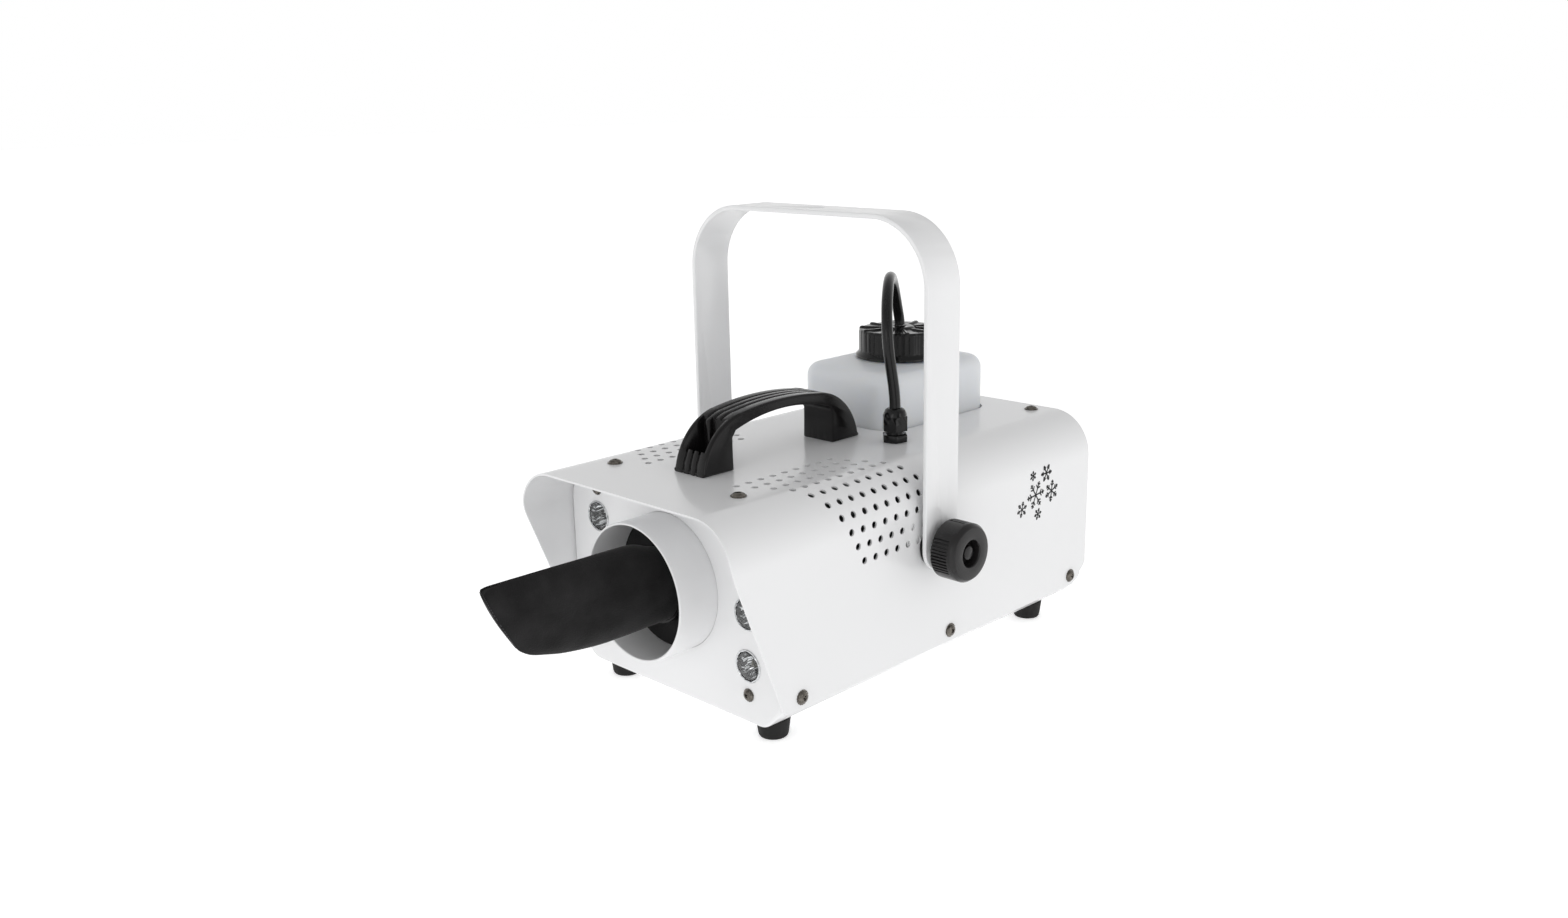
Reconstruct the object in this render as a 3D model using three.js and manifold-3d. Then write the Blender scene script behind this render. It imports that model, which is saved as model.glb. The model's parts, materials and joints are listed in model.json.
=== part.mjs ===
// A party snow machine: a folded steel case with six lamps on its front, a fabric snow sock on its outlet,
// a lift-out fluid bottle with a hose over its cap, a bridge handle and a tilting yoke with clamp knobs.
//
// Millimetres. In the machine's own frame x runs across the case, y runs back from the front panel's face
// and z runs up from the underside of the chassis. At the end the machine is stood on its feet, so that
// z = 0 is the floor and x = y = 0 is the middle of its floor space.
import * as THREE from "three";
import { mergeVertices } from "three/addons/utils/BufferGeometryUtils.js";
import Module from "manifold-3d";

const wasm = await Module();
wasm.setup();

// ---------------------------------------------------------------- driving dimensions

const GAP = 0.3; // between pieces that touch

const CASE_WIDTH = 184.5;
const CASE_LENGTH = 296;
const CASE_HEIGHT = 130;
const CASE_SIDE = CASE_WIDTH / 2;

const COVER_SHEET = 1.2;
const COVER_RADIUS = 28; // of the bends along the top
const COVER_LOWER_EDGE = 13;
const HOOD_OVERHANG = 36; // the cover stands this far in front of the panel
const HOOD_CORNER_HEIGHT = 105; // where the hood's raked side edge meets its upright front edge
const REAR_CORNER_CUT = { along: 14, up: 12 };

const CHASSIS_SHEET = 1.5;
const CHASSIS_SIDE = CASE_SIDE - COVER_SHEET - GAP;
const CHASSIS_TOP = CASE_HEIGHT - COVER_SHEET - GAP;
const CHASSIS_RADIUS = COVER_RADIUS - COVER_SHEET - GAP;
const CHASSIS_REAR = CASE_LENGTH - 1.5;
const BEVEL_FOOT = 76.35; // half-width of the flat underside
const BEVEL_HEIGHT = 15;
const REAR_BEVEL = { along: 8.5, up: 12 };
const FLANGE_TOP = 32; // of the low side flanges
const RETURN_DEPTH = 12; // of the returns behind the front panel
const REAR_RETURN_DEPTH = 17;
const EAR = { from: 106, to: 150, top: 98 }; // upright that carries each pivot stud

const OUTLET_HEIGHT = 70; // of the outlet's axis
const COLLAR = { radius: 41, wall: 1.5, projection: 28, flange: 47 };
const DUCT = { radius: 18.5, wall: 2, front: -14, ring: -1.6 };

const LAMP_COLUMN = 64.4; // of each row of lamps from the middle
const LAMP_HEIGHTS = [34.9, 65.6, 96];
const LAMP_RADIUS = 9.7;
const LAMP_SCREW_OFFSET = 17.4; // above the top lamp and below the bottom one

const SCREW_HOLE = 2.2; // radius
const SIDE_SCREW_HEIGHT = 20;
const SIDE_SCREW_PLACES = [14, 146, 278];
const TOP_SCREW_COLUMN = 53.7;
const TOP_SCREW_PLACES = [6.4, 283];

const PIVOT = { y: 128.3, z: 80.6 };
const YOKE = { side: 99, sheet: 3, width: 30, top: 275, radius: 42 };
const STUD_RADIUS = 4;
const STUD_END = 112; // from the middle of the case
const KNOB = {
  radius: 17.8,
  boss: { radius: 11, height: 4.4 }, // the narrower part that bears on the yoke
  length: 21.8, // the boss included
  recess: { mouth: 8.1, floor: 7.4, depth: 6.6 }, // round the post in the middle of the face
  post: { radius: 4.3, drop: 1.8 }, // drop: how far its end lies below the face
};

const HANDLE = { y: 84.5, halfGap: 43, halfWidth: 13, floor: 3 };
const HANDLE_POCKET = { from: 45, to: 61, halfWidth: 6.2 }; // measured out from the handle's middle

const BOTTLE = {
  left: -59, right: 24, front: 169, rear: 277, bottom: 39.6, top: 166.8,
  corner: 18, // radius seen from above
  edge: 6, // radius round the top and the bottom
  wall: 1.6,
};
const WELL = { clearance: 1.2, sheet: 1.2, floor: 38 };
const NECK = { x: -14, y: 224, radius: 22, wall: 2 };
const CAP = { radius: 27.7, skirt: 30, bottom: 168.5, top: 188.5, hole: 3.9 };
const TUBE_RADIUS = 3.5; // of the hose and of the pickup tube

const GLAND = { x: 40, y: 155, acrossCorners: 8.5 };

const FOOT = { height: 12, column: 66, places: [17, 266] };

const REAR_COLUMN = 58; // of the inlet, the switch and the button
const INLET_HEIGHT = 38;
const SWITCH_HEIGHT = 72;
const BUTTON_HEIGHT = 98;
const BUTTON_END = 301.4; // the rearmost point of the machine
const SOCK_END = -127.4; // the foremost point of the machine

// ---------------------------------------------------------------- finishes

const FINISHES = {
  whitePaint: { color: 0xe9eaec, roughness: 0.3, metalness: 0.0 },
  blackPlastic: { color: 0x17181a, roughness: 0.42, metalness: 0.0 },
  redPlastic: { color: 0xb3221d, roughness: 0.35, metalness: 0.0 },
  blackRubber: { color: 0x101011, roughness: 0.85, metalness: 0.0 },
  blackFelt: { color: 0x1a1a1c, roughness: 0.95, metalness: 0.0 },
  milkyPlastic: { color: 0xdfe6ea, roughness: 0.35, metalness: 0.0 },
  screwMetal: { color: 0x8f8f92, roughness: 0.3, metalness: 1.0 },
  plainSteel: { color: 0xb9bbbe, roughness: 0.4, metalness: 1.0 },
  lampReflector: { color: 0xc8cacc, roughness: 0.12, metalness: 1.0 },
  circuitBoard: { color: 0x1f5a38, roughness: 0.55, metalness: 0.0 },
  brass: { color: 0xb58c42, roughness: 0.35, metalness: 1.0 },
};

function finish(name) {
  return new THREE.MeshStandardMaterial(FINISHES[name]);
}

// ---------------------------------------------------------------- solids

function solid(geometry) {
  const bare = geometry.index ? geometry.toNonIndexed() : geometry.clone();
  bare.deleteAttribute("normal");
  bare.deleteAttribute("uv");
  const merged = mergeVertices(bare, 1e-3);
  const vertProperties = merged.attributes.position.array;
  const triVerts = new Uint32Array(merged.index.array);
  const made = new wasm.Manifold(new wasm.Mesh({ numProp: 3, vertProperties, triVerts }));
  if (made.volume() > 0) return made;
  for (let i = 0; i < triVerts.length; i += 3) {
    [triVerts[i + 1], triVerts[i + 2]] = [triVerts[i + 2], triVerts[i + 1]];
  }
  return new wasm.Manifold(new wasm.Mesh({ numProp: 3, vertProperties, triVerts }));
}

function geometryOf(piece) {
  const mesh = piece.getMesh();
  const geometry = new THREE.BufferGeometry();
  geometry.setAttribute("position", new THREE.BufferAttribute(new Float32Array(mesh.vertProperties), 3));
  geometry.setIndex(new THREE.BufferAttribute(new Uint32Array(mesh.triVerts), 1));
  geometry.computeVertexNormals();
  return geometry;
}

function join(...pieces) {
  return pieces.reduce((all, piece) => all.add(piece));
}

function cut(piece, ...cutters) {
  return cutters.reduce((left, cutter) => left.subtract(cutter), piece);
}

// The span that reaches half a size to each side of a middle.
function spread(middle, half) {
  return [middle - half, middle + half];
}

function box([x0, x1], [y0, y1], [z0, z1]) {
  const geometry = new THREE.BoxGeometry(x1 - x0, y1 - y0, z1 - z0);
  return solid(geometry.translate((x0 + x1) / 2, (y0 + y1) / 2, (z0 + z1) / 2));
}

// Maps a shape's own x, y and depth onto the machine's axes: "x" runs the depth along x, and so on.
const PLANES = {
  x: new THREE.Matrix4().set(0, 0, 1, 0, 1, 0, 0, 0, 0, 1, 0, 0, 0, 0, 0, 1),
  y: new THREE.Matrix4().set(1, 0, 0, 0, 0, 0, 1, 0, 0, 1, 0, 0, 0, 0, 0, 1),
  z: new THREE.Matrix4(),
};

function extrude(shape, axis, from, to, curveSegments = 8) {
  const depth = to - from;
  const geometry = new THREE.ExtrudeGeometry(shape, { depth, bevelEnabled: false, curveSegments });
  return solid(geometry.translate(0, 0, from).applyMatrix4(PLANES[axis]));
}

// A block whose top and bottom edges are rounded by the given radius.
function softBlock(shape, from, to, radius) {
  const geometry = new THREE.ExtrudeGeometry(shape, {
    depth: to - from - 2 * radius,
    bevelThickness: radius,
    bevelSize: radius,
    bevelOffset: -radius,
    bevelSegments: 3,
    curveSegments: 5,
  });
  return solid(geometry.translate(0, 0, from + radius));
}

// A body of revolution: its profile is [radius, place along the axis] pairs, around an axis through centre.
function turn(profile, axis, centre = [0, 0, 0], sides = 16) {
  const outline = profile.map(([radius, along]) => new THREE.Vector2(radius, along));
  const closed = profile[0][0] > 0 || profile.at(-1)[0] > 0;
  if (closed) outline.push(outline[0].clone());
  const geometry = new THREE.LatheGeometry(outline, sides);
  if (axis === "x") geometry.rotateZ(-Math.PI / 2);
  if (axis === "z") geometry.rotateX(Math.PI / 2);
  return solid(geometry.translate(...centre));
}

function rod(radius, from, to, axis, centre, sides = 12) {
  return turn([[0, from], [radius, from], [radius, to], [0, to]], axis, centre, sides);
}

function roundedRectangle(x0, x1, y0, y1, radius) {
  const shape = new THREE.Shape();
  shape.absarc(x1 - radius, y0 + radius, radius, -Math.PI / 2, 0);
  shape.absarc(x1 - radius, y1 - radius, radius, 0, Math.PI / 2);
  shape.absarc(x0 + radius, y1 - radius, radius, Math.PI / 2, Math.PI);
  shape.absarc(x0 + radius, y0 + radius, radius, Math.PI, 1.5 * Math.PI);
  return shape;
}

function polygon(points) {
  return new THREE.Shape(points.map(([x, y]) => new THREE.Vector2(x, y)));
}

// An upside-down U outline, closed along its lower edge.
function archOutline(side, top, radius, bottom) {
  const shape = new THREE.Shape();
  shape.moveTo(side, bottom);
  shape.lineTo(side, top - radius);
  shape.absarc(side - radius, top - radius, radius, 0, Math.PI / 2);
  shape.absarc(radius - side, top - radius, radius, Math.PI / 2, Math.PI);
  shape.lineTo(-side, bottom);
  return shape;
}

// ---------------------------------------------------------------- the assembly

const machine = new THREE.Group();

function add(name, piece, finishName) {
  const mesh = new THREE.Mesh(geometryOf(piece), finish(finishName));
  mesh.name = name;
  machine.add(mesh);
  return mesh;
}

const SIDES = { left: -1, right: 1 };

// ---------------------------------------------------------------- case

// The chassis outline: bevelled along the bottom and arched along the top, drawn in by inset.
function chassisOutline(inset) {
  const side = CHASSIS_SIDE - inset;
  const radius = CHASSIS_RADIUS - inset;
  const top = CHASSIS_TOP - inset;
  const corner = 0.41 * inset;
  const shape = new THREE.Shape();
  shape.moveTo(corner - BEVEL_FOOT, inset);
  shape.lineTo(BEVEL_FOOT - corner, inset);
  shape.lineTo(side, BEVEL_HEIGHT + corner);
  shape.absarc(side - radius, top - radius, radius, 0, Math.PI / 2);
  shape.absarc(radius - side, top - radius, radius, Math.PI / 2, Math.PI);
  shape.lineTo(-side, BEVEL_HEIGHT + corner);
  return shape;
}

// What the bevel along the lower rear edge takes off, drawn in by inset.
function rearBevelCutter(inset) {
  const slope = new THREE.Vector2(REAR_BEVEL.along, REAR_BEVEL.up).normalize();
  const start = new THREE.Vector2(CHASSIS_REAR - REAR_BEVEL.along - slope.y * inset, slope.x * inset);
  const low = start.clone().addScaledVector(slope, -10);
  const high = start.clone().addScaledVector(slope, 40);
  const outline = [[low.x, low.y], [high.x, high.y], [high.x + 20, low.y]];
  return extrude(polygon(outline), "x", -CASE_SIDE, CASE_SIDE);
}

function chassisBlock(inset) {
  const block = extrude(chassisOutline(inset), "y", inset, CHASSIS_REAR - inset, 6);
  return cut(block, rearBevelCutter(inset));
}

function sideScrewHoles() {
  const holes = SIDE_SCREW_PLACES.map((y) =>
    rod(SCREW_HOLE, -CASE_WIDTH, CASE_WIDTH, "x", [0, y, SIDE_SCREW_HEIGHT], 8),
  );
  return join(...holes);
}

function topScrewHoles() {
  const holes = TOP_SCREW_PLACES.flatMap((y) =>
    [-TOP_SCREW_COLUMN, TOP_SCREW_COLUMN].map((x) => rod(SCREW_HOLE, 120, 140, "z", [x, y, 0], 8)),
  );
  return join(...holes);
}

function pivotHoles() {
  return rod(STUD_RADIUS + 0.5, -CASE_WIDTH, CASE_WIDTH, "x", [0, PIVOT.y, PIVOT.z]);
}

function chassis() {
  const inside = [RETURN_DEPTH, CHASSIS_REAR - REAR_RETURN_DEPTH];
  const wide = [-CASE_SIDE, CASE_SIDE];
  const above = [FLANGE_TOP, CASE_HEIGHT];
  const shell = cut(
    chassisBlock(0),
    chassisBlock(CHASSIS_SHEET),
    box(wide, [inside[0], EAR.from], above),
    box(wide, [EAR.to, inside[1]], above),
    box(wide, [EAR.from - 1, EAR.to + 1], [EAR.top, CASE_HEIGHT]),
  );
  const wellNotch = box([BOTTLE.left - 3, BOTTLE.right + 3], [270, BOTTLE.rear + 2.8], [120, CASE_HEIGHT]);
  const lamps = Object.values(SIDES).flatMap((side) => [
    ...LAMP_HEIGHTS.map((z) => rod(LAMP_RADIUS + GAP, -5, 5, "y", [side * LAMP_COLUMN, 0, z], 20)),
    ...lampScrewHeights().map((z) => rod(2, -5, 5, "y", [side * LAMP_COLUMN, 0, z], 8)),
  ]);
  const outlet = rod(COLLAR.radius + GAP, -5, 5, "y", [0, 0, OUTLET_HEIGHT], 40);
  const feet = footPlaces().map(([x, y]) => rod(2.6, -5, 5, "z", [x, y, 0], 8));
  const rear = [CHASSIS_REAR - 5, CHASSIS_REAR + 5];
  const inlet = box(spread(REAR_COLUMN, 14), rear, spread(INLET_HEIGHT, 10.5));
  const rocker = box(spread(REAR_COLUMN, 6.8), rear, spread(SWITCH_HEIGHT, 9.8));
  const button = rod(6.3, ...rear, "y", [REAR_COLUMN, 0, BUTTON_HEIGHT], 14);
  return cut(
    shell, wellNotch, ...lamps, outlet, ...feet, inlet, rocker, button,
    sideScrewHoles(), topScrewHoles(), pivotHoles(),
  );
}

function lampScrewHeights() {
  return [LAMP_HEIGHTS[0] - LAMP_SCREW_OFFSET, LAMP_HEIGHTS.at(-1) + LAMP_SCREW_OFFSET];
}

function footPlaces() {
  return FOOT.places.flatMap((y) => [[-FOOT.column, y], [FOOT.column, y]]);
}

function topCover() {
  const lower = COVER_LOWER_EDGE;
  const outer = archOutline(CASE_SIDE, CASE_HEIGHT, COVER_RADIUS, lower);
  const inner = archOutline(
    CASE_SIDE - COVER_SHEET, CASE_HEIGHT - COVER_SHEET, COVER_RADIUS - COVER_SHEET, lower - 5,
  );
  const front = -HOOD_OVERHANG;
  const rake = polygon([
    [front - 5, 0], [1, 0], [1, lower], [front, HOOD_CORNER_HEIGHT], [front - 5, HOOD_CORNER_HEIGHT],
  ]);
  const rearFoot = CASE_LENGTH - REAR_CORNER_CUT.along;
  const past = 2;
  const rise = (REAR_CORNER_CUT.up * (REAR_CORNER_CUT.along + past)) / REAR_CORNER_CUT.along;
  const rearCorner = polygon([
    [rearFoot, lower], [CASE_LENGTH + past, lower + rise], [CASE_LENGTH + past, 0], [rearFoot, 0],
  ]);
  const bottleHole = roundedRectangle(
    BOTTLE.left - WELL.clearance, BOTTLE.right + WELL.clearance,
    BOTTLE.front - WELL.clearance, BOTTLE.rear + WELL.clearance, BOTTLE.corner + WELL.clearance,
  );
  const handleHoles = handleScrewPlaces().map((y) => rod(SCREW_HOLE, 120, 140, "z", [0, y, 0], 8));
  return cut(
    extrude(outer, "y", front, CASE_LENGTH, 8),
    extrude(inner, "y", front - 5, CASE_LENGTH + 5, 8),
    extrude(rake, "x", -100, 100),
    extrude(rearCorner, "x", -100, 100),
    extrude(bottleHole, "z", 120, 140, 4),
    rod(6.2, 120, 140, "z", [GLAND.x, GLAND.y, 0]),
    ...handleHoles,
    sideScrewHoles(), topScrewHoles(), pivotHoles(),
  );
}

// An open box that stands on the chassis floor, with a raised floor inside for the bottle.
function bottleWell() {
  const inner = WELL.clearance;
  const outer = WELL.clearance + WELL.sheet;
  const wellOutline = (by) =>
    roundedRectangle(
      BOTTLE.left - by, BOTTLE.right + by, BOTTLE.front - by, BOTTLE.rear + by, BOTTLE.corner + by,
    );
  return cut(
    extrude(wellOutline(outer), "z", CHASSIS_SHEET + GAP, CHASSIS_TOP, 4),
    extrude(wellOutline(inner), "z", WELL.floor + WELL.sheet, CASE_HEIGHT + 5, 4),
    extrude(wellOutline(inner), "z", -5, WELL.floor, 4),
  );
}

add("chassis", chassis(), "whitePaint");
add("top_cover", topCover(), "whitePaint");
add("bottle_well", bottleWell(), "plainSteel");

// ---------------------------------------------------------------- outlet, duct and sock

function nozzleCollar() {
  const inner = COLLAR.radius - COLLAR.wall;
  const back = CHASSIS_SHEET + GAP;
  const profile = [
    [inner, -COLLAR.projection], [COLLAR.radius, -COLLAR.projection], [COLLAR.radius, back],
    [COLLAR.flange, back], [COLLAR.flange, back + 1.5], [inner, back + 1.5],
  ];
  return turn(profile, "y", [0, 0, OUTLET_HEIGHT], 40);
}

// The duct carries the sock on its front and closes the collar round it with a flat ring.
function outletDuct() {
  const centre = [0, 0, OUTLET_HEIGHT];
  const inner = DUCT.radius - DUCT.wall;
  const ring = COLLAR.radius - COLLAR.wall - GAP;
  const profile = [
    [inner, DUCT.front], [DUCT.radius, DUCT.front], [DUCT.radius, DUCT.ring], [ring, DUCT.ring],
    [ring, DUCT.ring + DUCT.wall], [30, DUCT.ring + DUCT.wall], [30, 12.5], [28, 12.5],
    [28, DUCT.ring + DUCT.wall], [inner, DUCT.ring + DUCT.wall],
  ];
  const hub = turn([[4.5, -6], [6.5, -6], [6.5, 0], [4.5, 0]], "y", centre, 16);
  const spokes = [0, 1, 2].map((spoke) => {
    const arm = new THREE.BoxGeometry(DUCT.radius - 7, 4, 2);
    arm.translate(6 + (DUCT.radius - 7) / 2, -3, 0);
    arm.rotateY((spoke * 2 * Math.PI) / 3);
    return solid(arm.translate(...centre));
  });
  return join(turn(profile, "y", centre, 28), hub, ...spokes);
}

function sprayNozzle() {
  const profile = [[0, -12], [1.6, -12], [4.1, -8], [4.1, 5], [0, 5]];
  return turn(profile, "y", [0, 0, OUTLET_HEIGHT], 14);
}

// The sock is a fabric sleeve with a sewn toe. Each station gives its upper and lower edge in the y-z
// plane and its half thickness. It slips over the duct as a round sleeve and goes flat towards the toe.
const SOCK_FABRIC = 1.8;
const SOCK_STATIONS = [
  { upper: [-2.2, 90.9], lower: [-2.2, 49.1], half: 20.9 },
  { upper: [-13.5, 90.9], lower: [-13.5, 49.1], half: 20.9 },
  { upper: [-26, 96.6], lower: [-24, 48], half: 16 },
  { upper: [-42, 99.4], lower: [-38, 46.4], half: 12 },
  { upper: [-62, 100], lower: [-56, 46.2], half: 9.5 },
  { upper: [-84, 100.4], lower: [-76, 48.4], half: 7.5 },
  { upper: [-106, 100.7], lower: [-93, 52.6], half: 5 },
  { upper: [-118, 100.9], lower: [-101.5, 56.6], half: 3.2 },
  { upper: [SOCK_END, 100.9], lower: [-107.5, 61.6], half: 2.4 },
];

function sockRing({ upper, lower, half }, inset) {
  const top = new THREE.Vector3(0, ...upper);
  const bottom = new THREE.Vector3(0, ...lower);
  const middle = top.clone().add(bottom).multiplyScalar(0.5);
  const rise = top.clone().sub(middle);
  const scale = (rise.length() - inset) / rise.length();
  const points = [];
  const count = 16;
  for (let i = 0; i < count; i += 1) {
    const angle = (2 * Math.PI * i) / count;
    const point = middle.clone().addScaledVector(rise, scale * Math.cos(angle));
    point.x += Math.max(half - inset, 0.6) * Math.sin(angle);
    points.push(point);
  }
  return points;
}

// A closed solid through rings of equal count, capped flat at both ends.
function loft(rings) {
  const count = rings[0].length;
  const vertices = rings.flat();
  const index = [];
  for (let k = 0; k + 1 < rings.length; k += 1) {
    for (let i = 0; i < count; i += 1) {
      const a = k * count + i;
      const b = k * count + ((i + 1) % count);
      index.push(a, b, b + count, a, b + count, a + count);
    }
  }
  const last = (rings.length - 1) * count;
  for (let i = 1; i + 1 < count; i += 1) {
    index.push(0, i + 1, i);
    index.push(last, last + i, last + i + 1);
  }
  const geometry = new THREE.BufferGeometry().setFromPoints(vertices);
  geometry.setIndex(index);
  return solid(geometry);
}

function snowSock() {
  const outside = loft(SOCK_STATIONS.map((station) => sockRing(station, 0)));
  const hollow = SOCK_STATIONS.slice(0, -2);
  const mouth = { ...hollow[0], upper: [5, hollow[0].upper[1]], lower: [5, hollow[0].lower[1]] };
  const inside = loft([mouth, ...hollow].map((station) => sockRing(station, SOCK_FABRIC)));
  return cut(outside, inside);
}

function sockClamp() {
  const profile = [[21.3, -11.5], [22.6, -11.5], [22.6, -5], [21.3, -5]];
  return turn(profile, "y", [0, 0, OUTLET_HEIGHT], 24);
}

add("nozzle_collar", nozzleCollar(), "whitePaint");
add("outlet_duct", outletDuct(), "blackPlastic");
add("spray_nozzle", sprayNozzle(), "brass");
add("snow_sock", snowSock(), "blackFelt");
add("sock_clamp", sockClamp(), "blackPlastic");

// ---------------------------------------------------------------- blower

const BLOWER = { radius: 44, front: 13.3, rear: 60, motorRear: 118 };

function blowerHousing() {
  const wall = 2;
  const inner = BLOWER.radius - wall;
  const profile = [
    [30, BLOWER.front], [BLOWER.radius, BLOWER.front], [BLOWER.radius, BLOWER.rear],
    [inner, BLOWER.rear], [inner, BLOWER.front + wall], [30, BLOWER.front + wall],
  ];
  return turn(profile, "y", [0, 0, OUTLET_HEIGHT], 28);
}

function blowerImpeller() {
  const centre = [0, 0, OUTLET_HEIGHT];
  const hub = turn([[2.9, 24], [9, 24], [9, 50], [38, 50], [38, 52], [2.9, 52]], "y", centre, 24);
  const bladeCount = 9;
  const blades = Array.from({ length: bladeCount }, (_, i) => {
    const blade = new THREE.BoxGeometry(29, 25.5, 1.6);
    blade.translate(8.5 + 14.5, 24.5 + 12.75, 0);
    blade.rotateY((i * 2 * Math.PI) / bladeCount);
    return solid(blade.translate(...centre));
  });
  return join(hub, ...blades);
}

function blowerMotor() {
  const centre = [0, 0, OUTLET_HEIGHT];
  const front = BLOWER.rear + GAP;
  const body = rod(21, front, BLOWER.motorRear, "y", centre, 20);
  const shaft = rod(2.5, 30, front + 1, "y", centre, 12);
  const arms = [0, 1, 2].map((armIndex) => {
    const arm = new THREE.BoxGeometry(26, 4, 8);
    arm.translate(18 + 13, front + 2, 0);
    arm.rotateY((armIndex * 2 * Math.PI) / 3);
    return solid(arm.translate(...centre));
  });
  return join(body, shaft, ...arms);
}

add("blower_housing", blowerHousing(), "blackPlastic");
add("blower_impeller", blowerImpeller(), "blackPlastic");
add("blower_motor", blowerMotor(), "plainSteel");

// ---------------------------------------------------------------- pump and boards

const FLOOR = CHASSIS_SHEET + GAP;

function fluidPump() {
  const head = box([42, 74], [84, 120], [FLOOR, 34]);
  const coil = rod(13, 119, 152, "y", [58, 0, 18], 16);
  const ports = [50, 66].map((x) => rod(3.5, 74, 85, "y", [x, 0, 22], 10));
  return join(head, coil, ...ports);
}

function powerBoard() {
  const boardTop = 15.6;
  const board = box([-84, -34], [66, 158], [14, boardTop]);
  const transformer = box([-80, -42], [76, 110], [boardTop - 0.5, 46]);
  const heatSink = box([-82, -79], [114, 152], [boardTop - 0.5, 42]);
  const capacitors = [-68, -48].map((x) => rod(7, boardTop - 0.5, 40, "z", [x, 126, 0], 12));
  const posts = [-72, -38].flatMap((x) => [70, 154].map((y) => rod(2.6, FLOOR, 14.5, "z", [x, y, 0], 8)));
  return join(board, transformer, heatSink, ...capacitors, ...posts);
}

function lampBoard(side) {
  const x = side * LAMP_COLUMN;
  const board = box(spread(x, 13), [9.4, 11], [8, 122]);
  return cut(board, ...lampScrewHeights().map((z) => rod(2, 5, 15, "y", [x, 0, z], 8)));
}

// A lamp is a reflector cup with a small domed emitter at the bottom.
function lamp(x, z) {
  const profile = [
    [0, 9.1], [LAMP_RADIUS, 9.1], [LAMP_RADIUS, -0.4], [8.9, -0.4], [3.2, 6.2], [2.6, 4.6], [0, 3.6],
  ];
  return turn(profile, "y", [x, 0, z], 20);
}

add("fluid_pump", fluidPump(), "blackPlastic");
add("power_board", powerBoard(), "circuitBoard");
for (const [sideName, side] of Object.entries(SIDES)) {
  add(`led_board_${sideName}`, lampBoard(side), "circuitBoard");
  LAMP_HEIGHTS.forEach((z, i) => {
    add(`led_lamp_${sideName}_${i + 1}`, lamp(side * LAMP_COLUMN, z), "lampReflector");
  });
}

// ---------------------------------------------------------------- screws

// A domed screw with a wide head, standing on the plane at height 0 of its own axis.
function screwProfile(headRadius, shankRadius, length) {
  return [
    [0, 1.9], [0.62 * headRadius, 1.6], [headRadius, 0.2], [headRadius, 0], [shankRadius, 0],
    [shankRadius, -length], [0, -length],
  ];
}

function flip(profile) {
  return profile.map(([radius, along]) => [radius, -along]);
}

function addScrew(name, profile, axis, place) {
  add(name, turn(profile, axis, place, 10), "screwMetal");
}

for (const [sideName, side] of Object.entries(SIDES)) {
  SIDE_SCREW_PLACES.forEach((y, i) => {
    const profile = screwProfile(4.6, 1.9, 4.5);
    const place = [side * (CASE_SIDE + GAP), y, SIDE_SCREW_HEIGHT];
    addScrew(`side_screw_${sideName}_${i + 1}`, side > 0 ? profile : flip(profile), "x", place);
  });
  TOP_SCREW_PLACES.forEach((y, i) => {
    const place = [side * TOP_SCREW_COLUMN, y, CASE_HEIGHT + GAP];
    addScrew(`top_screw_${sideName}_${i + 1}`, screwProfile(4.7, 1.9, 5), "z", place);
  });
  lampScrewHeights().forEach((z, i) => {
    const place = [side * LAMP_COLUMN, -GAP, z];
    addScrew(`lamp_screw_${sideName}_${i + 1}`, flip(screwProfile(4.1, 1.6, 13)), "y", place);
  });
}

// ---------------------------------------------------------------- carry handle

const HANDLE_BASE = CASE_HEIGHT + GAP;

function handleScrewPlaces() {
  const reach = (HANDLE_POCKET.from + HANDLE_POCKET.to) / 2;
  return [HANDLE.y - reach, HANDLE.y + reach];
}

// The side view: tight bends over the two feet, one flat arc over the grip and another under it.
function handleOutline() {
  const bend = { reach: 28.6, drop: 4.6, radius: 38.4 };
  const top = { radius: 213.7, height: 35.9 };
  const under = { radius: 128.8, height: 29.8 };
  const lean = Math.atan2(bend.reach, top.radius - top.height - bend.drop);
  const footAngle = Math.asin(bend.drop / bend.radius);
  const reachAngle = Math.asin(HANDLE.halfGap / under.radius);
  const shape = new THREE.Shape();
  shape.absarc(bend.reach, -bend.drop, bend.radius, footAngle, Math.PI / 2 - lean);
  shape.absarc(0, top.height - top.radius, top.radius, Math.PI / 2 - lean, Math.PI / 2 + lean);
  shape.absarc(-bend.reach, -bend.drop, bend.radius, Math.PI / 2 + lean, Math.PI - footAngle);
  shape.lineTo(-HANDLE.halfGap, 0);
  shape.absarc(
    0, under.height - under.radius, under.radius, Math.PI / 2 + reachAngle, Math.PI / 2 - reachAngle, true,
  );
  shape.lineTo(HANDLE.halfGap, 0);
  return shape;
}

function carryHandle() {
  const body = extrude(handleOutline(), "x", -HANDLE.halfWidth, HANDLE.halfWidth, 8);
  const placed = body.translate([0, HANDLE.y, HANDLE_BASE]);
  const wide = [-HANDLE_POCKET.halfWidth, HANDLE_POCKET.halfWidth];
  const high = [HANDLE_BASE + HANDLE.floor, HANDLE_BASE + 50];
  const pockets = [
    box(wide, [HANDLE.y - HANDLE_POCKET.to, HANDLE.y - HANDLE_POCKET.from], high),
    box(wide, [HANDLE.y + HANDLE_POCKET.from, HANDLE.y + HANDLE_POCKET.to], high),
  ];
  const holes = handleScrewPlaces().map((y) => rod(SCREW_HOLE, 125, 140, "z", [0, y, 0], 8));
  return cut(placed, ...pockets, ...holes);
}

add("carry_handle", carryHandle(), "blackPlastic");
handleScrewPlaces().forEach((y, i) => {
  const place = [0, y, HANDLE_BASE + HANDLE.floor + GAP];
  addScrew(`handle_screw_${i + 1}`, screwProfile(3.9, 1.9, 8), "z", place);
});

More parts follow.
